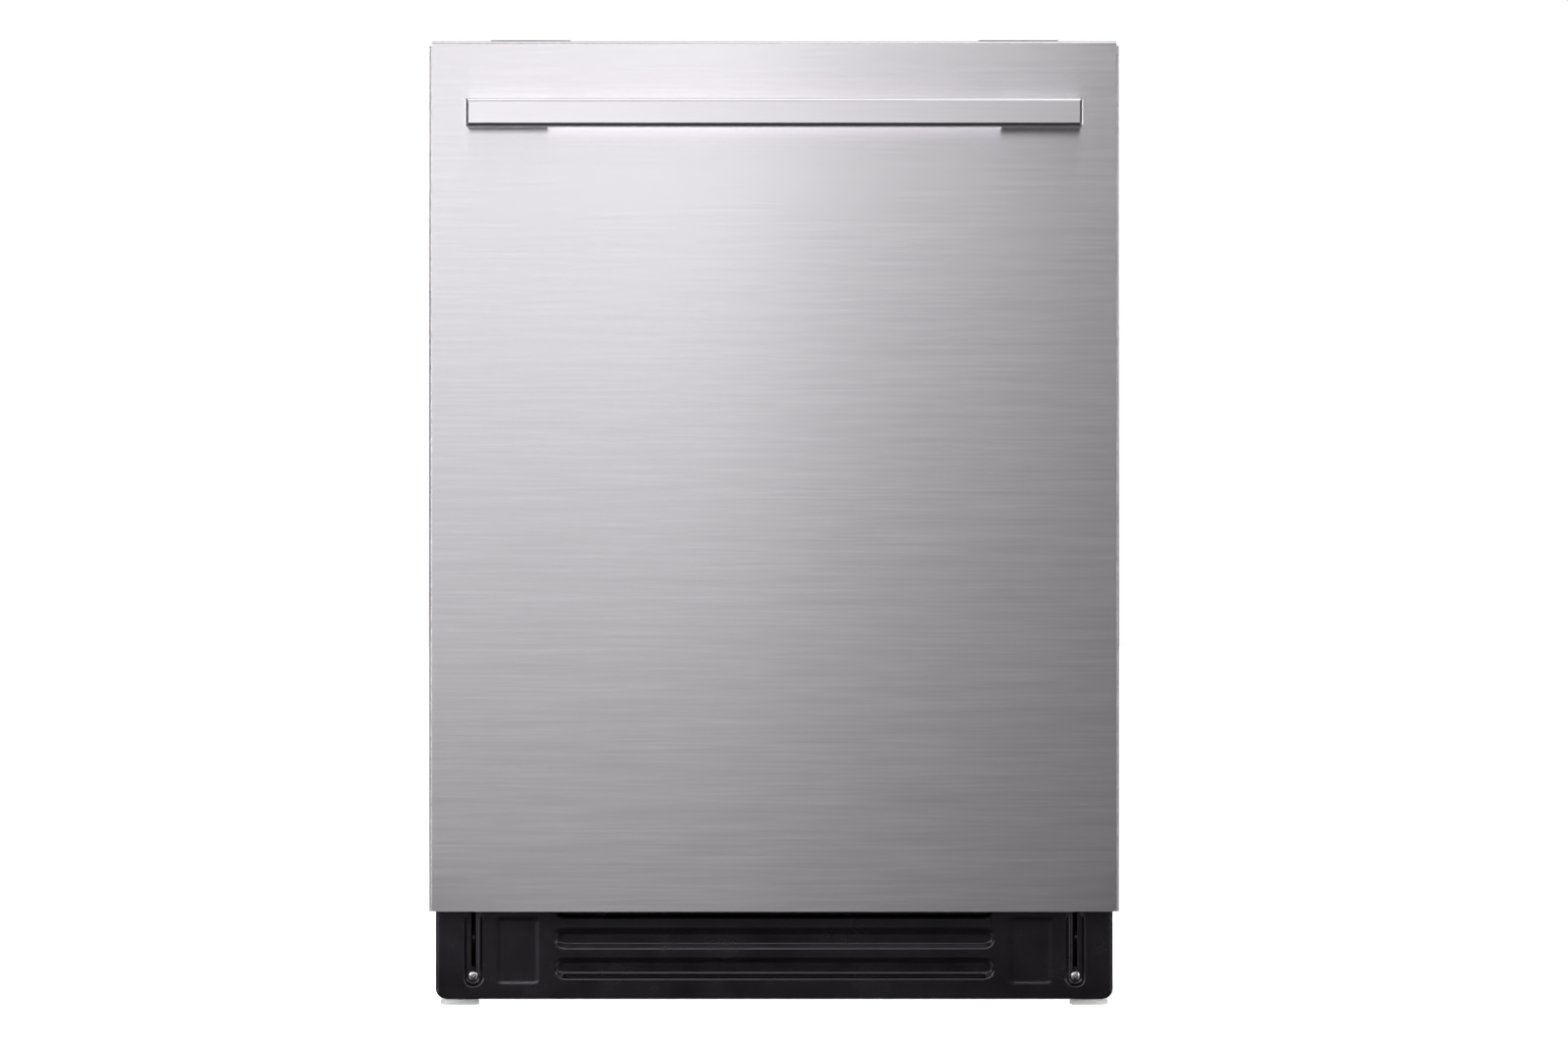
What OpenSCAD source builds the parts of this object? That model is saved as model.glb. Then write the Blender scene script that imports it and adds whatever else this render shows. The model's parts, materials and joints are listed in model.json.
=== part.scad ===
// Built-in dishwasher with a bar handle, shown shut. Millimetres, +Z up, the front faces -Y.
// The origin is at floor level, in the middle of the whole machine, handle included.

/* [Door] */
// Width of the stainless door skin
door_w = 603; // [600:1:606]
// Height of the stainless door skin
door_h = 761.5; // [761:0.5:762]
// Length of the handle bar
handle_len = 536; // [440:2:560]
// Height of the handle bar
handle_h = 24; // [18:1:30]
// Distance from the door skin to the front of the handle
handle_reach = 52; // [45:1:60]
// Width of each handle post
post_w = 70; // [40:1:90]

/* [Body] */
// Height over the mounting brackets, with the feet screwed in
overall_h = 854; // [854:1:858]
// Depth from the door skin to the rear of the pipe connections
body_d = 606; // [604:1:612]
// Width over the outside of the tub
tub_w = 568; // [566:1:568]

/* [Base] */
// Height of the door's lower edge above the floor
door_bottom = 88; // [88:0.5:88.5]
// Distance from the door skin back to the toe kick
kick_recess = 60; // [60:1:63]
// Width of the toe kick
kick_w = 597; // [590:1:597]

/* [Racks] */
// Number of floor wires across each rack
cross_wires = 9; // [6:1:10]
// Number of floor wires from front to back in each rack
long_wires = 9; // [6:1:10]
// Radius of a rack wire
wire_r = 1.9; // [1.6:0.1:1.9]

/* [Hidden] */
$fn = 48;

// Planes from front to back
total_d = body_d + handle_reach;
y_face = handle_reach - total_d / 2;    // outer face of the door skin
y_rear = total_d / 2;
y_border = y_face + 48;                 // tub side of the door liner's border
y_liner = y_face + 51;                  // tub side of the door liner's raised middle
y_mouth = y_face + 59;                  // front of the tub's flange
y_kick = y_face + kick_recess;          // front of the toe kick
y_tub_back = y_face + 577;              // outside of the tub's back wall

// Heights
door_top = door_bottom + door_h;
tub_z0 = 128;
tub_z1 = 835;
tub_mid = (tub_z0 + tub_z1) / 2;
tub_wall = 1.2;
tub_floor = tub_z0 + tub_wall;
track_z = 134;                          // top of the wheel tracks in the tub
sheet = 1;                              // thickness of pressed steel sheet

// Hinge
hinge_y = y_face + 17;
hinge_z = door_bottom + 12;
pin_r = 4;
arm_x = 287.5;                          // inner face of the hinge arm
arm_t = 2.5;
cam_t = 2.3;                            // the cam lies on the arm's outer face
cam_r = 30;                             // the balance cable runs on to this cam
bracket_x = 292.6;                      // inner face of the hinge bracket
bracket_t = 3;
rail_x = 295.8;                         // inner face of the base rail's outer wall
rail_t = 1.5;
spring_x = 290.2;
spring_z = hinge_z + cam_r + 1.2;
rod_r = 2.2;
spring_front = y_face + 149;
spring_rear = y_face + 309;

// Sump and spray arms
sump_y = 20;
sump_mouth_r = 95;
filter_pos = [42, sump_y - 42];
filter_r = 31;
hub_r = 12;

// Racks
wire_gap = 0.02;                        // welded wires are drawn this far apart
rim_r = 2.6;
bend_r = 18;
lower_half_w = 245;
lower_front = -200;
lower_rear = 262;
lower_floor = 180;
lower_rim = 320;
upper_half_w = 243;
upper_front = -192;
upper_rear = 248;
upper_floor = 490;
upper_rim = 606;
wheel_r = 20;
wheel_z = track_z + 0.3 + wheel_r;
wheel_y = [-86, -14, 220];
axle_r = 4;
rail_z = 600;
fold_y = 110;                           // hinge line of the folding tines
fold_z = lower_floor + wire_r + 4.4;
shelf_x = -235;
shelf_z = 566;

// Toe kick
kick_z0 = 9;                            // lower edge
kick_screw_x = 265.5;
kick_screw_z = 29.5;

// Feet
foot_x = 280;
foot_front_y = -144;
foot_rear_y = 270;
stem_r = 5;

float_pos = [110, -120];
float_post_r = 5;

// ---------- helpers ----------

// A box between two opposite corners
module block(lo, hi) {
    translate(lo) cube([for (i = [0:2]) hi[i] - lo[i]]);
}

module both_sides() {
    children();
    mirror([1, 0, 0]) children();
}

// Outline of a rectangle w by h with corners of radius r
function rounded_rect(w, h, r, n = 6) = [
    for (q = [0:3], i = [0:n])
        let (a = q * 90 + i * 90 / n)
        [(q == 0 || q == 3 ? 1 : -1) * (w / 2 - r) + r * cos(a), (q < 2 ? 1 : -1) * (h / 2 - r) + r * sin(a)]
];

// Rounded slabs, drawn along each axis from the first value to the second
module slab_y(w, h, r, y0, y1, x = 0, z = 0) {
    translate([x, y1, z]) rotate([90, 0, 0]) linear_extrude(y1 - y0) polygon(rounded_rect(w, h, r));
}

module slab_z(w, d, r, z0, z1, x = 0, y = 0) {
    translate([x, y, z0]) linear_extrude(z1 - z0) polygon(rounded_rect(w, d, r));
}

// A flat shape in Y and Z, drawn from x0 to x1
module profile_x(x0, x1) {
    translate([x0, 0, 0]) rotate([90, 0, 90]) linear_extrude(x1 - x0) children();
}

module rod_x(x0, x1, y, z, r) {
    translate([x0, y, z]) rotate([0, 90, 0]) cylinder(r = r, h = x1 - x0);
}

module rod_y(y0, y1, x, z, r) {
    translate([x, y1, z]) rotate([90, 0, 0]) cylinder(r = r, h = y1 - y0);
}

module rod_z(z0, z1, x, y, r) {
    translate([x, y, z0]) cylinder(r = r, h = z1 - z0);
}

// A quarter bend in X and Z of bend radius bend, from angle a0
module quarter_bend(bend, r, a0) {
    rotate([90, 0, 0]) rotate([0, 0, a0]) rotate_extrude(angle = 90) translate([bend, 0]) circle(r = r);
}

// A wire that runs along X at z = 0 and turns up at both ends to height h
module u_wire(w, h, r) {
    rod_x(-w / 2 + bend_r + wire_gap, w / 2 - bend_r - wire_gap, 0, 0, r);
    for (s = [-1, 1]) {
        translate([s * (w / 2 - bend_r), 0, bend_r]) quarter_bend(bend_r, r, s > 0 ? -90 : 180);
        rod_z(bend_r, h, s * w / 2, 0, r);
    }
}

// A closed hoop of wire, w by d, made of four rods and four bends
module hoop(w, d, bend, r) {
    for (s = [-1, 1]) {
        rod_x(-w / 2 + bend + wire_gap, w / 2 - bend - wire_gap, s * d / 2, 0, r);
        rod_y(-d / 2 + bend + wire_gap, d / 2 - bend - wire_gap, s * w / 2, 0, r);
    }
    for (q = [0:3])
        translate([(q == 0 || q == 3 ? 1 : -1) * (w / 2 - bend), (q < 2 ? 1 : -1) * (d / 2 - bend), 0])
            rotate([0, 0, q * 90]) rotate_extrude(angle = 90) translate([bend, 0]) circle(r = r);
}

// A pan-head screw along -Y, its head in front of y
module screw_y(x, y, z, head_r, head_h, shank_r, shank_l) {
    rod_y(y - head_h, y, x, z, head_r);
    rod_y(y, y + shank_l, x, z, shank_r);
}

// ---------- tub ----------

module tub() {
    mouth_w = tub_w - 2 * tub_wall;
    mouth_h = tub_z1 - tub_z0 - 2 * tub_wall;
    color("silver") difference() {
        union() {
            slab_y(tub_w, tub_z1 - tub_z0, 24, y_mouth, y_tub_back, 0, tub_mid);
            slab_y(592, 736, 10, y_mouth, y_mouth + tub_wall, 0, 480);
            rod_z(112, tub_z0 + 1, 0, sump_y, sump_mouth_r + 2);
        }
        difference() {
            slab_y(mouth_w, mouth_h, 22.8, y_mouth - 1, y_tub_back - tub_wall, 0, tub_mid);
            both_sides() block([253, y_mouth - 2, tub_z0], [tub_w / 2, 290, track_z]);
            wall_ribs();
        }
        rod_z(110, 140, 0, sump_y, sump_mouth_r);
        block([-14.3, y_mouth - 1, 844.2], [14.3, y_mouth + 2, 850]);
        both_sides() block([285.2, y_mouth - 1, 110], [300, y_mouth + 2, 142]);
    }
}

// Long ribs that stiffen the tub's side walls, pressed inwards
module wall_ribs() {
    both_sides()
        for (z = [380, 700])
            profile_x(tub_w / 2 - tub_wall - 2, tub_w / 2 - 0.2)
                translate([40, z]) polygon(rounded_rect(420, 16, 7));
}

// Rubber seal round the tub's mouth, open at the bottom
module door_gasket() {
    y0 = y_border + 0.3;
    color("dimgray") difference() {
        slab_y(584, 692, 24, y0, y_mouth, 0, 496.5);
        slab_y(571, 679, 18, y0 - 1, y_mouth + 1, 0, 496.5);
        block([-300, y0 - 2, 120], [300, y_mouth + 2, 186]);
    }
    color("dimgray") both_sides() block([285.5, y0, 144], [292, y_mouth, 186]);
}

// ---------- base ----------

module base_rail() {
    x_in = 262;
    x_out = rail_x + rail_t;
    difference() {
        union() {
            block([rail_x, -212, 24], [x_out, 300, 104]);
            block([x_in, -212, 24], [x_out, 300, 25.5]);
            block([240, -212, 102.5], [x_out, 300, 104]);
            block([x_in, -212, 24], [x_out, -210.5, 88]);
            for (y = [-150, 230]) block([240, y, 103], [258, y + 40, tub_z0]);
            for (y = [foot_front_y, foot_rear_y])
                translate([foot_x, y, 25]) cylinder(r = 9.5, h = 9, $fn = 6);
        }
        for (y = [foot_front_y, foot_rear_y]) rod_z(20, 40, foot_x, y, stem_r + 0.05);
        block([290, -214, 90], [rail_x, -112, 106]);
        rod_y(-214, -208, kick_screw_x, kick_screw_z, 2.1);
        block([kick_screw_x - 1.6, -214, 34], [kick_screw_x + 1.6, -208, 90]);
        rod_z(100, 106, 289.6, 188, 5.6);
    }
}

// Drip pan between the rails, notched at its front right for the junction box
module drip_pan() {
    difference() {
        union() {
            block([-258, -188, 12], [258, 282, 25.5]);
            block([-263, -193, 24], [263, 287, 25.5]);
        }
        difference() {
            block([-256, -186, 14], [256, 280, 30]);
            block([158, -190, 10], [260, -108, 30]);
        }
        block([160, -186, 14], [256, -110, 30]);
        block([162, -190, 10], [260, -112, 23]);
    }
    rod_z(13, 44, float_pos[0], float_pos[1], float_post_r);
}

// Side rails on the feet, cross rails and drip pan, with tabs for the valve and the junction box
module base_frame() {
    color([0.1, 0.1, 0.11]) {
        both_sides() base_rail();
        difference() {
            block([-262, -206, 24], [262, -204.5, 60]);
            for (x = [-150 : 75 : 150]) rod_y(-208, -202, x, 42, 9);
        }
        block([-262, -204.5, 24], [262, -192, 25.5]);
        difference() {
            union() {
                block([-262, 298.5, 24], [262, 300, 60]);
                block([-262, 298.5, 24], [-96, 300, 101]);
            }
            for (x = [-75 : 75 : 150]) rod_y(296, 302, x, 42, 9);
            rod_y(296, 302, -230, 78, 11.3);
            rod_y(296, 302, -130, 82, 10.4);
        }
        block([-262, 286, 24], [262, 298.5, 25.5]);
        block([250.2, -176, 24], [251.7, -136, 84]);
        block([250.2, -176, 24], [263, -136, 25.5]);
        drip_pan();
    }
}

// A stadium-shaped or rounded recess pressed back into the toe kick: [x, z, width, height, depth, corner]
kick_ribs = [
    [0, 88.75, 387, 17.5, 5, 8.7],
    [0, 62.2, 387, 18.4, 1.6, 9.1],
    [0, 35.6, 387, 19.6, 2.4, 9.7]
];
kick_panels = [for (s = [-1, 1]) [s * 226, 51.5, 37, 59, 1.2, 4]];
kick_slots = [for (s = [-1, 1]) [s * kick_screw_x, 54, 16.5, 68, 3, 8]];
kick_h = 82;
// Half width, bottom and top of the air slot in the lowest rib
kick_vent = [186, 27.7, 30.7];

module toe_kick() {
    presses = concat(kick_ribs, kick_panels, kick_slots);
    color([0.1, 0.1, 0.11]) difference() {
        union() {
            slab_y(kick_w, kick_h, 9.5, y_kick, y_kick + sheet, 0, kick_z0 + kick_h / 2);
            block([-284, y_kick, 70], [284, y_kick + sheet, 100]);
            both_sides() block([kick_w / 2 - sheet, y_kick, 20], [kick_w / 2, y_kick + 12, 88]);
            for (p = presses)
                slab_y(
                    p[2] + 2 * sheet, p[3] + 2 * sheet, p[5] + sheet,
                    y_kick, y_kick + p[4] + sheet, p[0], p[1]
                );
        }
        for (p = presses) slab_y(p[2], p[3], p[5], y_kick - 1, y_kick + p[4], p[0], p[1]);
        block([-300, y_kick - 2, 100], [300, y_kick + 20, 120]);
        both_sides() {
            block([284, y_kick - 2, 88], [300, y_kick + 20, 101]);
            block([kick_screw_x - 1.8, y_kick - 2, kick_screw_z], [kick_screw_x + 1.8, y_kick + 10, 101]);
            rod_y(y_kick - 2, y_kick + 10, kick_screw_x, kick_screw_z, 2.6);
        }
        block([-kick_vent[0], y_kick - 1, kick_vent[1]], [kick_vent[0], y_kick + 10, kick_vent[2]]);
    }
}

module kick_screws() {
    color("silver") both_sides() difference() {
        screw_y(kick_screw_x, y_kick + 3, kick_screw_z, 4.25, 2.6, 2, 12);
        for (a = [0, 90])
            translate([kick_screw_x, y_kick, kick_screw_z]) rotate([0, a, 0]) cube([4.4, 2.4, 0.9], center = true);
    }
}

// A levelling foot: pad, hexagonal grip and threaded stem
module foot(x, y) {
    translate([x, y, 0]) {
        cylinder(r = 17, h = 5);
        translate([0, 0, 5]) cylinder(r1 = 17, r2 = 10, h = 5);
        translate([0, 0, 10]) cylinder(r = 9, h = 6, $fn = 6);
        translate([0, 0, 16]) cylinder(r = stem_r - 0.6, h = 76);
        for (z = [36 : 3 : 87]) translate([0, 0, z]) cylinder(r = stem_r, h = 1.5);
        translate([0, 0, 22]) cylinder(r = stem_r, h = 14);
    }
}

module front_left_foot() { color("dimgray") foot(-foot_x, foot_front_y); }
module front_right_foot() { color("dimgray") foot(foot_x, foot_front_y); }
module rear_left_foot() { color("dimgray") foot(-foot_x, foot_rear_y); }
module rear_right_foot() { color("dimgray") foot(foot_x, foot_rear_y); }

// ---------- wrap, brackets and strike ----------

// Sound and heat insulation over the tub's top, sides and back
module insulation_blanket() {
    outer_w = 595;
    color("lightgray") difference() {
        slab_y(outer_w, 698, 22, -184, 312, 0, 499);
        slab_y(tub_w + 0.8, 700, 20, -200, 300.4, 0, 485.4);
        block([-300, -200, 100], [300, 320, 156]);
        block([-300, 118, 150], [-284, 292, 542]);
    }
}

module mounting_brackets() {
    top = overall_h;
    color("gray") both_sides() difference() {
        union() {
            block([180, y_mouth + 1.4, 838], [250, y_mouth + 2.9, top]);
            block([180, y_mouth + 1.4, top - 1.5], [250, y_mouth + 40, top]);
        }
        for (y = [10, 28]) rod_z(top - 4, top + 2, 215, y_mouth + y, 2.6);
    }
}

// The loop that the door's catch holds
module door_strike() {
    color("silver") difference() {
        union() {
            block([-14, -246, 844.5], [14, y_mouth + 1.2, 847.5]);
            block([-30, y_mouth + 1.3, 836], [30, y_mouth + 3.3, 852]);
            block([-14, y_mouth + 1.2, 844.5], [14, y_mouth + 1.4, 847.5]);
        }
        block([-8, -241, 840], [8, -232, 850]);
        block([-31, y_mouth + 1, 848.2], [-15, y_mouth + 4, 853]);
        block([15, y_mouth + 1, 848.2], [31, y_mouth + 4, 853]);
    }
}

// ---------- water parts ----------

module sump() {
    color([0.2, 0.2, 0.22]) translate([0, sump_y, 0]) {
        difference() {
            union() {
                cylinder(r = 104, h = 6, $fn = 96);
                translate([0, 0, -44]) cylinder(r = 99, h = 46, $fn = 96);
            }
            translate([0, 0, -41]) cylinder(r = sump_mouth_r, h = 60, $fn = 96);
        }
        translate([0, 0, -41]) cylinder(r = 16, h = 60);
        translate([0, 0, 19]) cylinder(r = hub_r, h = 22);
    }
}

module sump_at_height() {
    translate([0, 0, 106]) sump();
}

// Perforated stainless plate over the sump
module coarse_filter() {
    z = tub_floor + 0.1;
    color("silver") difference() {
        translate([0, sump_y, z]) cylinder(r = 112, h = 1.5, $fn = 96);
        rod_z(z - 1, z + 4, 0, sump_y, 17);
        rod_z(z - 1, z + 4, filter_pos[0], filter_pos[1], filter_r + 1.5);
        for (ring = [0:2])
            for (i = [0 : 17 + 3 * ring])
                let (a = i * 360 / (18 + 3 * ring), d = 56 + 16 * ring)
                if (norm([d * cos(a) - filter_pos[0], d * sin(a) + sump_y - filter_pos[1]]) > filter_r + 7)
                    rod_z(z - 1, z + 4, d * cos(a), sump_y + d * sin(a), 2.2);
    }
}

// Twist-out filter: mesh barrel, collar and grip
module fine_filter() {
    color([0.35, 0.37, 0.4]) translate([filter_pos[0], filter_pos[1], 0]) {
        difference() {
            translate([0, 0, 74]) cylinder(r = 26, h = 56);
            translate([0, 0, 72]) cylinder(r = 23.5, h = 56);
            for (a = [0 : 30 : 330])
                rotate([0, 0, a]) translate([24.5, 0, 100]) cube([8, 8, 40], center = true);
        }
        translate([0, 0, 129]) cylinder(r = filter_r, h = 2.5);
        translate([0, 0, 131.5]) cylinder(r = filter_r + 4, h = 2.5);
        translate([-24, -4, 134]) cube([48, 8, 8]);
    }
}

module circulation_pump() {
    y0 = sump_y + 99.3;
    color([0.45, 0.46, 0.48]) {
        rod_y(y0, y0 + 30, 0, 66, 40);
        rod_y(y0 + 30, y0 + 120, 0, 66, 36);
        for (i = [0:5]) rod_y(y0 + 40 + 13 * i, y0 + 44 + 13 * i, 0, 66, 37.5);
        rod_y(y0 + 120, y0 + 128, 0, 66, 12);
        block([-30, y0 + 60, 14.2], [-22, y0 + 80, 45]);
        block([22, y0 + 60, 14.2], [30, y0 + 80, 45]);
    }
}

module drain_pump() {
    color([0.16, 0.17, 0.2]) {
        rod_x(-150, -99.3, sump_y, 82, 20);
        rod_x(-188, -150, sump_y, 82, 26);
        block([-184, sump_y - 12, 14.2], [-154, sump_y + 12, 62]);
        rod_y(sump_y + 15, sump_y + 44, -130, 82, 8);
    }
}

// Solenoid valve with a threaded inlet that faces the rear
module inlet_valve() {
    x = -230;
    z = 78;
    color([0.85, 0.86, 0.84]) {
        block([x - 17, 240, z - 17], [x + 17, 276, z + 17]);
        rod_y(276, y_rear - 12, x, z, 11);
        rod_y(y_rear - 12, y_rear, x, z, 13.4);
        rod_y(300.5, 304, x, z, 17);
        rod_z(40, z - 16, x, 256, 14);
        rod_y(226, 240, x, z + 6, 6);
    }
}

// Fill hose to the water guide and drain line to the rear spigot, clipped under the tub
module internal_hoses() {
    color([0.22, 0.22, 0.24]) {
        rod_y(200, 225.9, -230, 84, 5);
        translate([-242, 200, 84]) rotate([0, 0, -90])
            rotate_extrude(angle = 90) translate([12, 0]) circle(r = 5);
        rod_x(-289.6, -242, 188, 84, 5);
        rod_z(83.5, 159.9, -289.6, 188, 5);
        rod_y(64.1, 300.5, -130, 82, 9.4);
        rod_y(300.4, y_rear, -130, 82, 10);
        for (i = [0:21]) rod_y(72 + 9 * i, 76 + 9 * i, -130, 82, 11.6);
        rod_y(272, 276, -130, 82, 15);
    }
}

// Flat air-break chamber on the tub's left side, with its maze of ribs
module water_guide() {
    color([0.8, 0.83, 0.84]) {
        block([-292, 122, 160], [-285.2, 288, 538]);
        for (i = [0:4])
            block([-295, 130 + (i % 2) * 26, 200 + 64 * i], [-292, 254 + (i % 2) * 26, 204 + 64 * i]);
        block([-295, 122, 160], [-292, 125, 538]);
        block([-295, 285, 160], [-292, 288, 538]);
        block([-295, 122, 160], [-292, 288, 163]);
        block([-295, 122, 535], [-292, 288, 538]);
    }
}

// Feed duct up the back wall to the docking port, and along the ceiling to the top nozzle
module spray_manifold() {
    duct_y = y_tub_back - tub_wall - 14;
    color([0.3, 0.32, 0.35]) {
        block([-24, duct_y, tub_floor + 6], [24, y_tub_back - tub_wall - 0.1, 826]);
        rod_y(264, duct_y, 0, 474, 17);
        block([-15, sump_y + 10, 822], [15, duct_y, 832]);
        rod_z(800, 832, 0, sump_y + 10, 15);
        difference() {
            rod_z(795, 800, 0, sump_y + 10, 40);
            for (a = [0 : 45 : 315])
                rod_z(790, 801, 30 * cos(a), sump_y + 10 + 30 * sin(a), 2);
        }
        for (z = [220, 350, 620, 740]) block([-30, duct_y + 6, z], [30, y_tub_back - tub_wall - 0.1, z + 14]);
    }
}

// A spray arm's outline: two blades that taper from the hub and sweep back at the tips
function blade_side(len, root, tip, s) = [
    for (i = [0:8]) let (t = i / 8, bow = 10 * sin(180 * t)) [t * len, s * (root + (tip - root) * t) + bow]
];

module spray_arm(len, root, tip, h) {
    linear_extrude(h) {
        for (turn = [0, 180])
            rotate(turn) {
                polygon(concat(
                    blade_side(len, root, tip, 1),
                    [for (i = [8 : -1 : 0]) blade_side(len, root, tip, -1)[i]]
                ));
                translate([len, 0]) circle(r = tip);
            }
        circle(r = root + 8);
    }
}

module spray_jets(len, z) {
    for (turn = [0, 180], i = [1:4])
        rotate([0, 0, turn])
            translate([len * (0.18 + 0.2 * i), 10 * sin(180 * (0.18 + 0.2 * i)), z]) cylinder(r = 4, h = 2);
}

module lower_spray_arm() {
    color([0.35, 0.37, 0.4]) translate([0, sump_y, 0]) difference() {
        union() {
            translate([0, 0, 150]) spray_arm(205, 22, 15, 11);
            translate([0, 0, 148]) cylinder(r = 20, h = 16);
            spray_jets(205, 161);
        }
        translate([0, 0, 140]) cylinder(r = hub_r + 0.06, h = 18);
    }
}

module upper_spray_arm() {
    color([0.35, 0.37, 0.4]) translate([0, sump_y + 10, 0]) difference() {
        union() {
            translate([0, 0, 446]) spray_arm(170, 20, 13, 10);
            translate([0, 0, 444]) cylinder(r = 18, h = 16);
            spray_jets(170, 456);
        }
        translate([0, 0, 448]) cylinder(r = 9.06, h = 20);
    }
}

module upper_feed_tube() {
    y0 = sump_y + 10;
    color([0.3, 0.32, 0.35]) {
        rod_z(448.5, 470, 0, y0, 9);
        rod_z(461, 482, 0, y0, 17);
        block([-13, y0, 466], [13, 246, 481]);
        rod_y(244, 263.6, 0, 474, 13);
    }
}

module junction_box() {
    color("silver") difference() {
        block([176, -186, 42], [250, -126, 92]);
        block([177.5, -184.5, 43.5], [248.5, -127.5, 90.5]);
        rod_z(40, 45, 213, -156, 11.1);
    }
    color("silver") block([176, -187.2, 46], [250, -186, 88]);
}

module control_box() {
    color([0.85, 0.86, 0.86]) {
        block([-250, -186, 14.2], [-120, -96, 84]);
        block([-252, -188, 76], [-118, -94, 86]);
        for (i = [0:3]) block([-240 + 28 * i, -94, 44], [-222 + 28 * i, -88, 62]);
    }
}

// Leak float on its guide post in the base pan
module float() {
    color("white") difference() {
        rod_z(14.3, 30, float_pos[0], float_pos[1], 26);
        rod_z(10, 40, float_pos[0], float_pos[1], float_post_r + 0.06);
    }
}

// ---------- door balance ----------

module bracket_shape() {
    translate([hinge_y, hinge_z]) circle(r = 9);
    translate([hinge_y, hinge_z - 7]) square([60, 14]);
    translate([-210.3, 40]) square([90.3, 62]);
    translate([spring_front - 6, 100]) square([5.8, 42]);
}

// Fixed plates on the base rails, with the hinge pins and the springs' front stops
module hinge_brackets() {
    color("gray") both_sides() difference() {
        union() {
            profile_x(bracket_x, bracket_x + bracket_t) bracket_shape();
            rod_x(arm_x - 0.5, bracket_x + 1, hinge_y, hinge_z, pin_r);
            rod_x(arm_x - 3.3, arm_x - 0.3, hinge_y, hinge_z, 6.5);
            block([283.5, spring_front - 3.2, 122], [bracket_x + 1, spring_front - 0.2, 142]);
        }
        rod_y(spring_front - 8, spring_front + 2, spring_x, spring_z, rod_r + 0.08);
    }
}

// Hinge arms and the cams that pull the balance cables; they turn with the door
module hinge_arms() {
    color("gray") both_sides() difference() {
        union() {
            profile_x(arm_x, arm_x + arm_t) {
                translate([hinge_y, hinge_z]) circle(r = 10);
                translate([hinge_y - 6, hinge_z]) square([26, 236]);
            }
            profile_x(arm_x + 1, arm_x + arm_t + cam_t) intersection() {
                translate([hinge_y, hinge_z]) circle(r = cam_r - 0.2);
                translate([hinge_y - 8, hinge_z - 8]) square([cam_r + 8, cam_r + 8]);
            }
            block([arm_x - 12, hinge_y + 2, hinge_z + 50], [arm_x + 1, hinge_y + 4, hinge_z + 230]);
        }
        rod_x(arm_x - 2, arm_x + 6, hinge_y, hinge_z, pin_r + 0.06);
    }
}

// Compression springs and the straight run of each cable, drawn plain; both deform as the door opens
module balance_springs() {
    color("gray") both_sides() {
        difference() {
            rod_y(spring_front, spring_rear, spring_x, spring_z, 5);
            rod_y(spring_front - 1, spring_rear + 1, spring_x, spring_z, 3.2);
        }
        rod_y(hinge_y, y_face + 122.9, arm_x + arm_t + 1.2, spring_z, 0.9);
    }
}

// Rods that the cables pull forward through the springs
module spring_rods() {
    color("silver") both_sides() {
        rod_y(y_face + 123, spring_rear + 4, spring_x, spring_z, rod_r);
        rod_y(y_face + 123, y_face + 131, spring_x, spring_z, 3.2);
        rod_y(spring_rear + 0.1, spring_rear + 3, spring_x, spring_z, 5);
    }
}

// ---------- door ----------

// Front sheet with folded edges; the corners between the folds stay open
module door_skin() {
    half = door_w / 2;
    color([0.75, 0.75, 0.77]) difference() {
        union() {
            block([-half, y_face, door_bottom], [half, y_face + sheet, door_top]);
            both_sides() {
                block([half - sheet, y_face, door_bottom], [half, y_border - 1.2, door_top]);
                block([half - 9.5, y_border - 2.2, 141], [half, y_border - 1.2, door_top]);
            }
            block([-half + 2, y_face, door_top - sheet], [half - 2, y_face + 9, door_top]);
            block([-285, y_face, door_bottom], [285, y_face + 27, door_bottom + sheet]);
        }
        both_sides() block([half - 2.5, y_face - 1, door_top - 4], [half + 1, y_face + 2.5, door_top + 1]);
    }
}

handle_z = 785;

// Bar section with its front edges eased, in Y and Z
module handle_bar() {
    y0 = y_face - handle_reach;
    d = 22;
    ease = 2;
    color([0.8, 0.8, 0.82]) difference() {
        block(
            [-handle_len / 2, y0, handle_z - handle_h / 2],
            [handle_len / 2, y0 + d, handle_z + handle_h / 2]
        );
        for (s = [-1, 1]) {
            translate([0, y0, handle_z + s * handle_h / 2]) rotate([45, 0, 0])
                cube([handle_len + 2, ease * sqrt(2), ease * sqrt(2)], center = true);
            translate([s * handle_len / 2, y0, handle_z]) rotate([0, 0, 45])
                cube([ease * sqrt(2), ease * sqrt(2), handle_h + 2], center = true);
        }
    }
}

module handle_posts() {
    color([0.8, 0.8, 0.82]) both_sides() difference() {
        block([handle_len / 2 - post_w, y_face - handle_reach + 22, handle_z - handle_h / 2],
              [handle_len / 2 - 0.5, y_face, handle_z + handle_h / 2]);
        rod_y(y_face - 12, y_face + 1, handle_len / 2 - post_w / 2, handle_z, 2.5);
    }
}

// Handle bolts and the screws down the edges of the liner
module door_screws() {
    color("silver") {
        both_sides() {
            rod_y(y_face - 11, y_face, handle_len / 2 - post_w / 2, handle_z, 2.5);
            rod_y(y_face + 1, y_face + 5, handle_len / 2 - post_w / 2, handle_z, 4.5);
            for (z = [180 : 125 : 805]) rod_y(y_border, y_border + 1.6, 281.5, z, 3.6);
        }
        for (x = [-200 : 100 : 200]) rod_y(y_border, y_border + 1.6, x, 106, 3.6);
    }
}

button_x = [-230, -170, 230];
button_y = y_face + 20;

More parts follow.
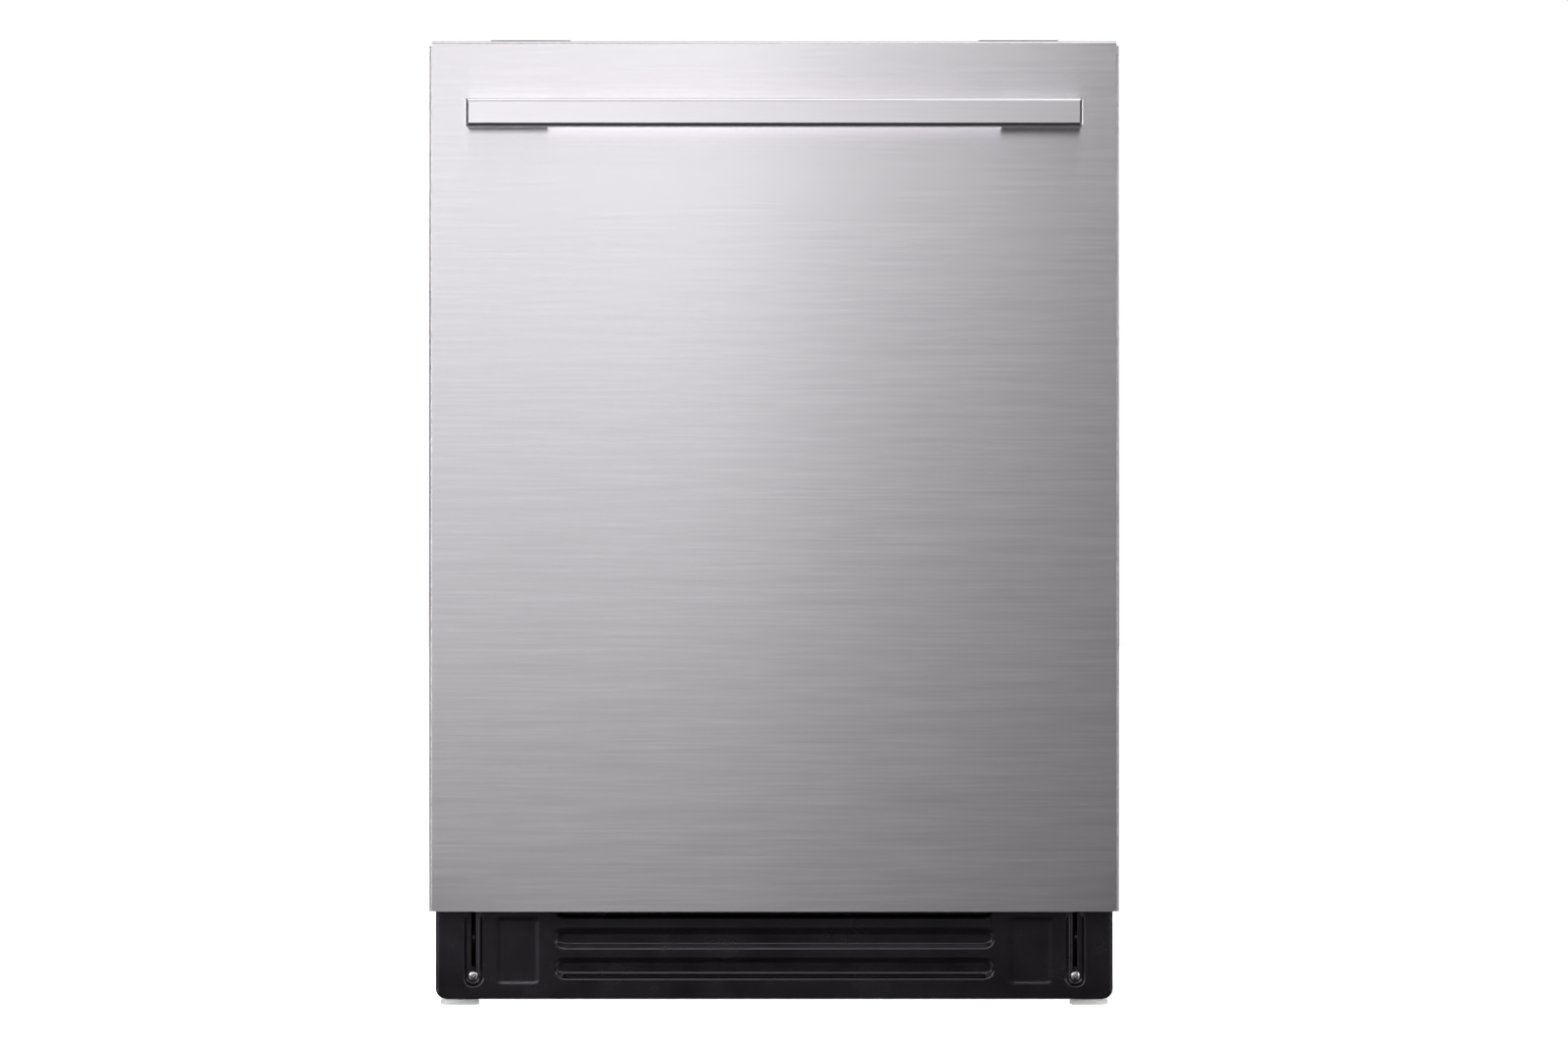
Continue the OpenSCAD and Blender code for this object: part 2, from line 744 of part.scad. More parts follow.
// Control housing behind the top of the skin, with button wells, window seat and catch slot
module control_panel() {
    color([0.06, 0.06, 0.07]) difference() {
        union() {
            block([-299.5, y_face + 9.3, 815], [299.5, y_border - 3, door_top - 0.5]);
            block([-291.3, y_face + 9.3, 815], [291.3, y_border - 1.3, door_top - 0.5]);
        }
        for (x = button_x) slab_z(18.6, 10.6, 2.6, door_top - 5, door_top + 1, x, button_y);
        slab_z(90.4, 14.4, 2.2, door_top - 3, door_top + 1, 60, button_y);
        block([-18, y_border - 19, 842], [18, y_border, door_top + 1]);
        block([-6.4, y_border - 14.4, 820], [6.4, y_border - 3.6, 845]);
        block([-280, y_face + 15, 810], [280, y_border - 7, 828]);
    }
}

module display_window() {
    color([0.1, 0.1, 0.12]) slab_z(90, 14, 2, door_top - 2.9, door_top - 0.4, 60, button_y);
}

module push_button(i) {
    color([0.7, 0.7, 0.72]) {
        slab_z(18, 10, 2.4, door_top - 3.4, door_top + 0.4, button_x[i], button_y);
    }
}

module power_button() { push_button(0); }
module cycle_button() { push_button(1); }
module start_button() { push_button(2); }

// Sprung catch in the door that clicks under the strike
module latch_catch() {
    color("silver") {
        block([-6, y_border - 14, 833], [6, y_border - 4, 840.5]);
        rod_x(-6, 6, y_border - 9, 840.3, 3.1);
    }
}

// Inner face of the door: flat border, raised middle and openings for the fittings
module door_liner() {
    color("silver") difference() {
        union() {
            slab_y(568, 750, 4, y_border - 1, y_border, 0, 471);
            both_sides() block([270, y_border - 1, 141], [298, y_border, 846]);
            slab_y(544, 656, 14, y_border - 1, y_liner, 0, 478);
        }
        slab_y(542, 654, 13, y_border - 3, y_liner - 1, 0, 478);
        slab_y(228, 136, 6, y_border - 5, y_liner + 1, 0, 540);
        rod_y(y_border - 5, y_liner + 1, 190, 300, 31);
        block([-18, y_border - 3, 841], [18, y_border + 1, 850]);
        both_sides() block([284, y_border - 3, 90], [300, y_border + 1, 141]);
        liner_grooves();
    }
}

// Shallow channels pressed into the liner's middle
module liner_grooves() {
    for (z = [210, 690, 740])
        slab_y(420, 6, 2.9, y_liner - 0.5, y_liner + 1, 0, z);
}

module door_insulation() {
    color([0.25, 0.25, 0.27]) slab_y(540, 660, 8, y_face + 6, y_face + 17, 0, 470);
}

module door_bottom_seal() {
    color([0.15, 0.15, 0.16]) {
        block([-268, y_border, 112], [268, y_border + 2, 124]);
        rod_x(-268, 268, y_border + 5.2, 118, 3.4);
    }
}

dispenser_z = 540;

// Grey plastic module with a detergent cup, a pre-wash cup and the rinse-aid mouth
module dispenser_body() {
    front = y_liner + 3;
    color([0.6, 0.62, 0.64]) difference() {
        union() {
            slab_y(240, 148, 9, y_liner + 0.05, front, 0, dispenser_z);
            slab_y(226, 134, 5, y_face + 20, y_liner + 0.1, 0, dispenser_z);
            for (z = [dispenser_z - 38, dispenser_z + 38])
                block([-100, front - 1, z - 2], [60, front + 4.6, z + 2]);
        }
        slab_y(66, 60, 8, y_liner - 22, front + 1, -58, dispenser_z);
        slab_y(30, 40, 6, y_liner - 8, front + 1, 84, dispenser_z - 44);
        rod_y(y_liner - 20, front + 6, 78, dispenser_z + 32, 11);
        block([-99, front + 0.2, dispenser_z - 38], [61, front + 3.8, dispenser_z + 38]);
    }
}

// Sliding cover of the detergent cup
module dispenser_lid() {
    front = y_liner + 3;
    color([0.75, 0.77, 0.79]) {
        slab_y(76, 73, 4, front + 0.5, front + 3.2, -58, dispenser_z);
        block([-30, front + 3, dispenser_z - 20], [-26, front + 7, dispenser_z + 20]);
    }
}

module rinse_aid_cap() {
    front = y_liner + 3;
    color([0.3, 0.45, 0.6]) {
        rod_y(front - 12, front + 0.3, 78, dispenser_z + 32, 10.7);
        rod_y(front + 0.2, front + 4, 78, dispenser_z + 32, 15);
        block([66, front + 3, dispenser_z + 29.5], [90, front + 9, dispenser_z + 34.5]);
    }
}

module door_vent() {
    color([0.4, 0.42, 0.44]) difference() {
        union() {
            rod_y(y_liner + 0.05, y_liner + 3, 190, 300, 37);
            rod_y(y_face + 20, y_liner + 0.1, 190, 300, 30.5);
        }
        for (i = [-3:3])
            slab_y(2 * sqrt(900 - 81 * i * i) - 10, 4, 1.9, y_liner - 8, y_liner + 5, 190, 300 + 9 * i);
    }
}

// ---------- lower rack ----------

module basket(half_w, front, rear, floor_z, rim_z) {
    mid_y = (front + rear) / 2;
    depth = rear - front;
    drop = 2 * wire_r + wire_gap;
    h = rim_z - floor_z;
    pitch_y = (depth - 48) / (cross_wires - 1);
    pitch_x = (2 * half_w - 50) / (long_wires - 1);
    out = wire_r + rim_r + wire_gap;
    for (i = [0 : cross_wires - 1])
        translate([0, front + 24 + i * pitch_y, floor_z - drop]) u_wire(2 * half_w, h + drop, wire_r);
    for (i = [0 : long_wires - 1])
        translate([-half_w + 25 + i * pitch_x, mid_y, floor_z]) rotate([0, 0, 90]) u_wire(depth, h, wire_r);
    for (z = [rim_z - rim_r, rim_z - 0.5 * h])
        translate([0, mid_y, z])
            hoop(2 * (half_w + out), depth + 2 * out, 22, rim_r);
}

// Row of upright pins on a rod along X
module tine_row(x0, x1, pitch, y, z, h) {
    rod_x(x0 - 8, x1 + 8, y, z, 2.2);
    for (x = [x0 : pitch : x1]) rod_z(z + 1, z + h, x, y, 1.7);
}

module lower_basket() {
    z = lower_floor + wire_r + 2.22;
    color([0.35, 0.36, 0.38]) {
        basket(lower_half_w, lower_front, lower_rear, lower_floor, lower_rim);
        for (y = [-60, 25, 110, 195]) tine_row(-212, -20, 32, y, z, 72);
        tine_row(20, 212, 32, 25, z, 72);
        tine_row(20, 212, 32, 195, z, 72);
    }
}

// Right-hand row of tines that folds down to the front
module fold_tines() {
    color([0.3, 0.42, 0.52]) {
        rod_x(14, 222, fold_y, fold_z, 2.2);
        for (x = [36 : 32 : 196]) rod_z(fold_z + 1, fold_z + 70, x, fold_y, 1.7);
        block([60, fold_y - 2.4, fold_z - 0.5], [72, fold_y + 2.4, fold_z + 12]);
    }
}

// Wheel carriers, fold-tine clips and the front pull of the lower rack
module wheel_brackets() {
    x0 = lower_half_w + wire_r + 0.5;
    color([0.35, 0.37, 0.4]) {
        both_sides()
            for (y = wheel_y) {
                difference() {
                    profile_x(x0, x0 + 7) {
                        translate([y, wheel_z]) circle(r = 12);
                        translate([y - 12, wheel_z]) square([24, 93]);
                    }
                    rod_x(x0 - 1, x0 + 4, y, 205, 3);
                }
                rod_x(x0 + 6, x0 + 23, y, wheel_z, axle_r);
                rod_x(x0 + 21.6, x0 + 24, y, wheel_z, 6);
            }
        for (x = [24, 214])
            difference() {
                block([x - 4, fold_y - 5, lower_floor + wire_r + 0.1], [x + 4, fold_y + 5, fold_z + 5]);
                rod_x(x - 6, x + 6, fold_y, fold_z, 2.28);
            }
        slab_y(120, 26, 8, lower_front - 15, lower_front - 9.2, 0, lower_rim - 16);
    }
}

module wheel(y) {
    x0 = lower_half_w + wire_r + 8.2;
    difference() {
        union() {
            rod_x(x0, x0 + 12.6, y, wheel_z, wheel_r - 1.5);
            rod_x(x0 + 2, x0 + 10.6, y, wheel_z, wheel_r);
        }
        rod_x(x0 - 1, x0 + 14, y, wheel_z, axle_r + 0.08);
        for (a = [0 : 60 : 300])
            translate([x0 + 8, y, wheel_z]) rotate([a, 0, 0]) translate([0, 11.5, 0]) rotate([0, 90, 0])
                cylinder(r = 3.4, h = 10);
    }
}

module wheel_pair(i) {
    color([0.45, 0.47, 0.5]) both_sides() wheel(wheel_y[i]);
}

module front_wheels() { wheel_pair(0); }
module middle_wheels() { wheel_pair(1); }
module rear_wheels() { wheel_pair(2); }

// Six-cell cutlery basket with slotted walls and an arched handle
module silverware_basket() {
    x1 = 118;
    y0 = -185;
    y1 = -120;
    z0 = lower_floor + wire_r + 0.5;
    z1 = 296;
    cell = 2 * x1 / 6;
    color([0.45, 0.47, 0.5]) {
        difference() {
            slab_z(2 * x1, y1 - y0, 6, z0, z1, 0, (y0 + y1) / 2);
            for (i = [0:5])
                slab_z(cell - 3, y1 - y0 - 5, 4, z0 + 2.5, z1 + 1, (i + 0.5) * cell - x1, (y0 + y1) / 2);
            for (i = [0:5], k = [-1, 0, 1], z = [z0 + 14, z0 + 50])
                translate([(i + 0.5) * cell - x1 + k * 10, 0, 0]) block([-2, y0 - 2, z], [2, y1 + 2, z + 26]);
        }
        for (s = [-1, 1]) block([s * x1 / 3 - 1.5, -158, z1 - 12], [s * x1 / 3 + 1.5, -150, 336]);
        block([-x1 / 3 - 3, -159, 334], [x1 / 3 + 3, -149, 344]);
    }
}

// ---------- upper rack ----------

module upper_basket() {
    z = upper_floor + wire_r + 2.22;
    color([0.35, 0.36, 0.38]) {
        basket(upper_half_w, upper_front, upper_rear, upper_floor, upper_rim);
        for (x = [-60, 30, 120])
            translate([x, 28, 0]) rotate([0, 0, 90]) tine_row(-168, 168, 42, 0, z, 58);
    }
}

// Inner slide members, the hangers that carry the basket, shelf clips and the front pull
module upper_slides() {
    x0 = upper_half_w + wire_r + 2 * rim_r + 0.4;
    color([0.6, 0.61, 0.63]) {
        both_sides() {
            block([262, -195, rail_z - 7], [276.5, 230, rail_z + 7]);
            for (y = [-120, 150]) {
                block([x0, y - 30, 560], [262.2, y + 30, 610]);
                block([x0 - 7, y - 30, upper_rim + 0.3], [x0 + 1, y + 30, 610]);
            }
        }
        for (y = [-83, 141])
            difference() {
                block([shelf_x - 5.8, y - 5, shelf_z - 6], [shelf_x + 5, y + 5, shelf_z + 6]);
                rod_y(y - 8, y + 8, shelf_x, shelf_z, 2.08);
            }
        slab_y(120, 24, 8, upper_front - 15, upper_front - 9.2, 0, upper_rim - 14);
    }
}

// A C-shaped rail along Y that opens towards the middle
module c_rail(x_in, x_out, half_h, wall, y0, y1) {
    difference() {
        block([x_in, y0, rail_z - half_h], [x_out, y1, rail_z + half_h]);
        block([x_in - 1, y0 - 1, rail_z - half_h + wall], [x_out - wall, y1 + 1, rail_z + half_h - wall]);
    }
}

module outer_rails() {
    color("silver") both_sides() c_rail(270, 282.6, 13, 1.5, -195, 240);
}

module middle_rails() {
    color("silver") both_sides() c_rail(266, 280.4, 10.8, 1.6, -195, 235);
}

// Hinged wire shelf for cups, at rest lying level; cross wires lie on the two long ones
module cup_shelf() {
    depth = 84;
    cross_r = 1.7;
    color([0.3, 0.42, 0.52]) {
        for (x = [0, depth]) rod_y(-104, 156, shelf_x + x, shelf_z, 2);
        for (y = [-98 : 31 : 150])
            rod_x(shelf_x - 1, shelf_x + depth + 1, y, shelf_z + 2 + cross_r + wire_gap, cross_r);
    }
}

// ---------- nodes ----------

tub();
door_gasket();
base_frame();
toe_kick();
kick_screws();
insulation_blanket();
mounting_brackets();
door_strike();
sump_at_height();  // sump
coarse_filter();
circulation_pump();
drain_pump();
inlet_valve();
internal_hoses();
water_guide();
spray_manifold();
junction_box();
control_box();
outer_rails();
hinge_brackets();
balance_springs();
spring_rods();
door_skin();
handle_bar();
handle_posts();
control_panel();
display_window();
door_liner();
door_insulation();
door_bottom_seal();
dispenser_body();
door_vent();
hinge_arms();
door_screws();
latch_catch();
dispenser_lid();
rinse_aid_cap();
power_button();
cycle_button();
start_button();
front_left_foot();
front_right_foot();
rear_left_foot();
rear_right_foot();
lower_basket();
silverware_basket();
wheel_brackets();
fold_tines();
front_wheels();
middle_wheels();
rear_wheels();
upper_basket();
upper_slides();
middle_rails();
upper_feed_tube();
upper_spray_arm();
cup_shelf();
lower_spray_arm();
fine_filter();
float();
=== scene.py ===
"""Built-in dishwasher: brushed door, bar handle and black toe kick, with everything behind them.

Metres, in the CAD's frame: +Z up, the front faces -Y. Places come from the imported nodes.
"""
import json
import math

import bpy
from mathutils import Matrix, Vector, noise

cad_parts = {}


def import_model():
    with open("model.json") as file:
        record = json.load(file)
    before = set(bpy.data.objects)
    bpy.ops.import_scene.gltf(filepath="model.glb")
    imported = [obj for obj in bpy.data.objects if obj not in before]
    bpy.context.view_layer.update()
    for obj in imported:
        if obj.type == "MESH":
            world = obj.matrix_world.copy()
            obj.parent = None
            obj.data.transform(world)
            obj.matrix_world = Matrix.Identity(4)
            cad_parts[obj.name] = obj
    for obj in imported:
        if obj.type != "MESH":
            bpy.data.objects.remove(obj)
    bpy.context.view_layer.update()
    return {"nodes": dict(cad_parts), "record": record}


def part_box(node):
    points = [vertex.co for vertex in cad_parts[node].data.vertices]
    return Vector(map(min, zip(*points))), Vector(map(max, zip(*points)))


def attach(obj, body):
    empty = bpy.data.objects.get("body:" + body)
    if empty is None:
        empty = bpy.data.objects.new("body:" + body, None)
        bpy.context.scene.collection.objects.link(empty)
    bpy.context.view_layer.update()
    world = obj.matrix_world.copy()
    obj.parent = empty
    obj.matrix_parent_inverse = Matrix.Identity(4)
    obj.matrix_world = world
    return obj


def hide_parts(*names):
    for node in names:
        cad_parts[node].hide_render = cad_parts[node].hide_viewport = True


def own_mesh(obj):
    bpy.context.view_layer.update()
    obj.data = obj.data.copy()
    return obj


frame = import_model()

MM = 0.001
NODES = frame["nodes"]


# ---------- materials ----------

class Shader:
    """A material's node tree, built a node at a time round one Principled BSDF."""

    def __init__(self, name, **sockets):
        self.material = bpy.data.materials.new(name)
        self.material.use_nodes = True
        self.tree = self.material.node_tree
        self.bsdf = self.tree.nodes["Principled BSDF"]
        for socket, value in sockets.items():
            self.bsdf.inputs[socket.replace("_", " ")].default_value = value

    def node(self, kind, links=(), **settings):
        made = self.tree.nodes.new("ShaderNode" + kind)
        for key, value in settings.items():
            setattr(made, key, value)
        for socket, source in dict(links).items():
            if hasattr(source, "is_output"):
                self.tree.links.new(source, made.inputs[socket])
            else:
                made.inputs[socket].default_value = source
        return made

    def coords(self, scale):
        """Object coordinates stretched by scale, a number or three of them."""
        place = self.node("TexCoord")
        size = scale if hasattr(scale, "__len__") else (scale,) * 3
        return self.node("Mapping", {"Vector": place.outputs["Object"], "Scale": size}).outputs["Vector"]

    def noise(self, scale, detail=3.0, roughness=0.6):
        links = {"Vector": self.coords(scale), "Scale": 1.0, "Detail": detail, "Roughness": roughness}
        return self.node("TexNoise", links).outputs["Fac"]

    def cells(self, scale, output="Color"):
        links = {"Vector": self.coords(scale), "Scale": 1.0}
        return self.node("TexVoronoi", links).outputs[output]

    def spread(self, value, low, high, start=0.0, end=1.0):
        """value mapped from start..end to low..high."""
        links = {"Value": value, "From Min": start, "From Max": end, "To Min": low, "To Max": high}
        return self.node("MapRange", links).outputs["Result"]

    def mix(self, factor, a, b):
        made = self.node("Mix", {}, data_type="RGBA")
        for socket, value in ((0, factor), (6, a), (7, b)):
            if hasattr(value, "is_output"):
                self.tree.links.new(value, made.inputs[socket])
            else:
                made.inputs[socket].default_value = value
        return made.outputs[2]

    def math(self, operation, a, b):
        return self.node("Math", {0: a, 1: b}, operation=operation).outputs[0]

    def set(self, socket, output):
        self.tree.links.new(output, self.bsdf.inputs[socket])

    def bump(self, height, distance, strength=1.0):
        links = {"Height": height, "Distance": distance, "Strength": strength}
        self.set("Normal", self.node("Bump", links).outputs["Normal"])


def rgb(r, g, b):
    return (r, g, b, 1.0)


def shade(colour, factor):
    return rgb(*(min(1.0, c * factor) for c in colour[:3]))


def brushed(name, colour, roughness=0.26, grain=(12, 480, 480), anisotropy=0.82, contrast=0.07):
    """Steel brushed along X: long fine streaks in colour, gloss and relief."""
    s = Shader(name, Metallic=1.0, Anisotropic=anisotropy, Anisotropic_Rotation=0.25)
    fine = s.noise(grain, detail=2.0, roughness=0.5)
    broad = s.noise([g * 0.3 for g in grain], detail=2.0)
    streaks = s.math("ADD", s.math("MULTIPLY", fine, 0.6), s.math("MULTIPLY", broad, 0.4))
    tone = s.spread(streaks, 0.0, 1.0, 0.3, 0.7)
    s.set("Base Color", s.mix(tone, shade(colour, 1 - contrast), shade(colour, 1 + contrast)))
    s.set("Roughness", s.spread(streaks, roughness * 0.95, roughness * 1.05, 0.3, 0.7))
    s.bump(fine, 0.000003, 0.5)
    s.set("Tangent", s.node("Tangent", direction_type="RADIAL", axis="Z").outputs["Tangent"])
    return s.material


def galvanised(name, colour, roughness=0.42):
    """Zinc-coated steel: flat spangles that differ a little in tone and gloss."""
    s = Shader(name, Metallic=1.0)
    spangle = s.cells(110)
    smudge = s.noise(14, detail=5.0)
    tone = s.math("ADD", s.math("MULTIPLY", spangle, 0.55), s.math("MULTIPLY", smudge, 0.45))
    s.set("Base Color", s.mix(s.spread(tone, 0, 1, 0.2, 0.8), shade(colour, 0.82), shade(colour, 1.12)))
    s.set("Roughness", s.spread(tone, roughness - 0.08, roughness + 0.1, 0.2, 0.8))
    s.bump(s.noise(900), 0.00003, 0.4)
    return s.material


def bright_metal(name, colour, roughness=0.2):
    """Plated or drawn steel with faint scratches and handling marks."""
    s = Shader(name, Metallic=1.0)
    scratches = s.noise((220, 2600, 900), detail=3.0)
    marks = s.noise(70, detail=4.0)
    s.set("Base Color", s.mix(s.spread(marks, 0, 1, 0.3, 0.7), shade(colour, 0.86), colour))
    s.set("Roughness", s.spread(scratches, roughness * 0.7, roughness * 1.5, 0.3, 0.7))
    s.bump(scratches, 0.00001, 0.4)
    return s.material


def painted(name, colour, roughness=0.35, peel=700, specular=0.5, relief=0.00004, tint=(1, 1, 1, 1)):
    """Enamel or powder paint: orange-peel relief, faint drift in tone and gloss."""
    s = Shader(name, Specular_IOR_Level=specular, Specular_Tint=tint)
    cloud = s.noise(24, detail=4.0)
    s.set("Base Color", s.mix(s.spread(cloud, 0, 1, 0.3, 0.7), shade(colour, 0.85), shade(colour, 1.2)))
    s.set("Roughness", s.spread(cloud, roughness - 0.05, roughness + 0.06, 0.3, 0.7))
    s.bump(s.noise(peel, detail=1.0), relief, 0.5)
    return s.material


def moulded(name, colour, roughness=0.45, grain=2600, specular=0.5):
    """Injection-moulded plastic: fine spark-eroded grain, slow drift in tone."""
    s = Shader(name, Specular_IOR_Level=specular)
    drift = s.noise(18, detail=3.0)
    speck = s.noise(grain, detail=2.0)
    s.set("Base Color", s.mix(s.spread(drift, 0, 1, 0.3, 0.7), shade(colour, 0.93), shade(colour, 1.06)))
    s.set("Roughness", s.spread(speck, roughness - 0.06, roughness + 0.08, 0.3, 0.7))
    s.bump(speck, 0.00002, 0.6)
    return s.material


def rubber(name, colour, roughness=0.62):
    """Moulded rubber with a chalky bloom."""
    s = Shader(name, Specular_IOR_Level=0.35)
    bloom = s.noise(40, detail=6.0, roughness=0.7)
    s.set("Base Color", s.mix(s.spread(bloom, 0, 1, 0.35, 0.75), colour, shade(colour, 1.8)))
    s.set("Roughness", s.spread(bloom, roughness - 0.08, roughness + 0.12, 0.3, 0.7))
    s.bump(s.noise(1500, detail=2.0), 0.00004, 0.5)
    return s.material


def felted(name, colour):
    """Needled felt: matted fibres over flecks of darker shoddy."""
    s = Shader(name, Roughness=0.95, Specular_IOR_Level=0.2, Sheen_Weight=0.35, Sheen_Roughness=0.5)
    fibre = s.noise((900, 240, 700), detail=6.0, roughness=0.75)
    cross = s.noise((260, 900, 240), detail=6.0, roughness=0.75)
    fleck = s.cells(260, "Distance")
    mat = s.math("ADD", s.math("MULTIPLY", fibre, 0.5), s.math("MULTIPLY", cross, 0.5))
    base = s.mix(s.spread(mat, 0, 1, 0.35, 0.65), shade(colour, 0.72), shade(colour, 1.25))
    s.set("Base Color", s.mix(s.spread(fleck, 0.5, 0.0, 0.0, 0.4), base, shade(colour, 0.45)))
    s.bump(mat, 0.0006, 0.7)
    return s.material


def tinted_window(name):
    """Dark tinted window under a clear glossy coat."""
    s = Shader(name, Coat_Weight=1.0, Coat_Roughness=0.03, Roughness=0.12)
    haze = s.noise(120, detail=3.0)
    s.set("Base Color", s.mix(haze, rgb(0.006, 0.006, 0.008), rgb(0.016, 0.016, 0.02)))
    return s.material


DOOR_STEEL = rgb(0.80, 0.772, 0.812)
MATERIALS = {
    "door_steel": brushed("door_steel", DOOR_STEEL),
    # handle_steel is the door's steel made 8% lighter: painted light, so that the handle's face shows about
    # as bright as the door beside it
    "handle_steel": brushed("handle_steel", shade(DOOR_STEEL, 1.08), 0.3, anisotropy=0.62, contrast=0.03),
    "tub_steel": brushed("tub_steel", rgb(0.66, 0.66, 0.67), 0.24, (40, 1500, 300), 0.5, 0.04),
    "zinc_steel": galvanised("zinc_steel", rgb(0.52, 0.53, 0.54)),
    "black_steel": painted("black_steel", rgb(0.0028, 0.0022, 0.0031), 0.24, 500, 0.85, 0.000008,
                           rgb(0.93, 0.86, 1.0)),
    "bright_screw": bright_metal("bright_screw", rgb(0.80, 0.80, 0.81)),
    "grey_coated_wire": painted("grey_coated_wire", rgb(0.16, 0.17, 0.19), 0.4, 1200),
    "blue_coated_wire": painted("blue_coated_wire", rgb(0.05, 0.10, 0.18), 0.38, 1200),
    "dark_plastic": moulded("dark_plastic", rgb(0.016, 0.016, 0.019), 0.5),
    "black_gloss": moulded("black_gloss", rgb(0.008, 0.008, 0.009), 0.2, 900),
    "grey_plastic": moulded("grey_plastic", rgb(0.17, 0.18, 0.20)),
    "light_plastic": moulded("light_plastic", rgb(0.62, 0.63, 0.62), 0.42),
    "dispenser_plastic": moulded("dispenser_plastic", rgb(0.36, 0.38, 0.40), 0.4),
    "cap_plastic": moulded("cap_plastic", rgb(0.03, 0.10, 0.22), 0.35),
    "button_plastic": moulded("button_plastic", rgb(0.48, 0.49, 0.51), 0.28, 1800),
    "window_glass": tinted_window("window_glass"),
    "motor_paint": painted("motor_paint", rgb(0.16, 0.17, 0.18), 0.42, 500),
    "seal_rubber": rubber("seal_rubber", rgb(0.022, 0.022, 0.024)),
    "hose_rubber": rubber("hose_rubber", rgb(0.026, 0.026, 0.028), 0.55),
    "felt": felted("felt", rgb(0.115, 0.115, 0.122)),
    "spring_steel": bright_metal("spring_steel", rgb(0.40, 0.40, 0.41), 0.32),
}
SLOT_OF = {part["node"]: part["material_slot"] for part in frame["record"]["subparts"]}


def paint(obj, slot):
    obj.data.materials.clear()
    obj.data.materials.append(MATERIALS[slot])


# ---------- mesh helpers ----------

def mesh_object(name, verts, faces):
    mesh = bpy.data.meshes.new(name)
    mesh.from_pydata([tuple(v) for v in verts], [], faces)
    mesh.validate()
    obj = bpy.data.objects.new(name, mesh)
    bpy.context.scene.collection.objects.link(obj)
    return obj


def smooth(obj, angle=35):
    obj.data.polygons.foreach_set("use_smooth", [True] * len(obj.data.polygons))
    obj.data.set_sharp_from_angle(angle=math.radians(angle))
    return obj


def finish_piece(obj, slot, body, *nodes):
    """A piece of the record's slot, on a body, in place of CAD nodes."""
    paint(obj, slot)
    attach(obj, body)
    if nodes:
        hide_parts(*nodes)
    return obj


def thicken(obj, thickness, offset=-1.0):
    made = obj.modifiers.new("thickness", "SOLIDIFY")
    made.thickness = thickness
    made.offset = offset
    made.use_even_offset = True
    return made


def even_normals(obj):
    """Large flat faces keep flat shading beside their bends."""
    made = obj.modifiers.new("even_normals", "WEIGHTED_NORMAL")
    made.keep_sharp = True


def soften(obj, width, segments=2, angle=32):
    """Eases a CAD node's edges; flat faces are made whole first, so that the bevel runs clean."""
    weld = obj.modifiers.new("weld", "WELD")
    weld.merge_threshold = 2e-6
    whole = obj.modifiers.new("whole_faces", "DECIMATE")
    whole.decimate_type = "DISSOLVE"
    whole.angle_limit = math.radians(0.6)
    bevel = obj.modifiers.new("eased_edges", "BEVEL")
    bevel.width = width
    bevel.segments = segments
    bevel.limit_method = "ANGLE"
    bevel.angle_limit = math.radians(angle)
    bevel.use_clamp_overlap = False
    bevel.harden_normals = False


class Sheet:
    """Grid of points and faces, with rows and columns left out where there is no metal."""

    def __init__(self):
        self.verts = []
        self.faces = []
        self.index = {}

    def vert(self, key, point):
        if key not in self.index:
            self.index[key] = len(self.verts)
            self.verts.append(point)
        return self.index[key]

    def grid(self, columns, rows, point, present, flip=False):
        """A face for each cell of columns by rows where present(i, j) is true."""
        for i in range(len(columns) - 1):
            for j in range(len(rows) - 1):
                if not present(i, j):
                    continue
                corners = [(i, j), (i + 1, j), (i + 1, j + 1), (i, j + 1)]
                face = [self.vert(c, point(columns[c[0]], rows[c[1]])) for c in corners]
                self.faces.append(face[::-1] if flip else face)


def lathe(profile, segments=32):
    """Points and faces of a profile of (radius, height) turned about Z; ends with radius 0 close."""
    verts, rings, faces = [], [], []
    for radius, height in profile:
        if radius <= 0:
            rings.append([len(verts)])
            verts.append(Vector((0, 0, height)))
            continue
        rings.append([len(verts) + k for k in range(segments)])
        for k in range(segments):
            angle = 2 * math.pi * k / segments
            verts.append(Vector((radius * math.cos(angle), radius * math.sin(angle), height)))
    for low, high in zip(rings, rings[1:]):
        for k in range(segments):
            n = (k + 1) % segments
            quad = [low[k % len(low)], low[n % len(low)], high[n % len(high)], high[k % len(high)]]
            face = [v for i, v in enumerate(quad) if v not in quad[:i]]
            if len(face) > 2:
                faces.append(face)
    return verts, faces


def tube(path, radius, sides=10, ridges=0, twist=0.0, depth=0.0):
    """Points and faces of a closed tube along path, with twisted ridges if asked."""
    verts, faces = [], []
    count = len(path)
    side = None
    for k, point in enumerate(path):
        ahead = path[min(k + 1, count - 1)] - path[max(k - 1, 0)]
        ahead.normalize()
        if side is None:
            side = ahead.orthogonal().normalized()
        side = (side - ahead * side.dot(ahead)).normalized()
        up = ahead.cross(side)
        for s in range(sides):
            angle = 2 * math.pi * s / sides
            r = radius * (1 - depth * abs(math.sin(ridges * (angle + twist * k) / 2)))
            verts.append(point + side * (r * math.cos(angle)) + up * (r * math.sin(angle)))
    for k in range(count - 1):
        for s in range(sides):
            n = (s + 1) % sides
            faces.append([k * sides + s, k * sides + n, (k + 1) * sides + n, (k + 1) * sides + s])
    faces.append(list(range(sides))[::-1])
    faces.append([(count - 1) * sides + s for s in range(sides)])
    return verts, faces


def joined(name, parts):
    """One object from several (verts, faces)."""
    verts, faces = [], []
    for part_verts, part_faces in parts:
        start = len(verts)
        verts += part_verts
        faces += [[start + v for v in face] for face in part_faces]
    return mesh_object(name, verts, faces)


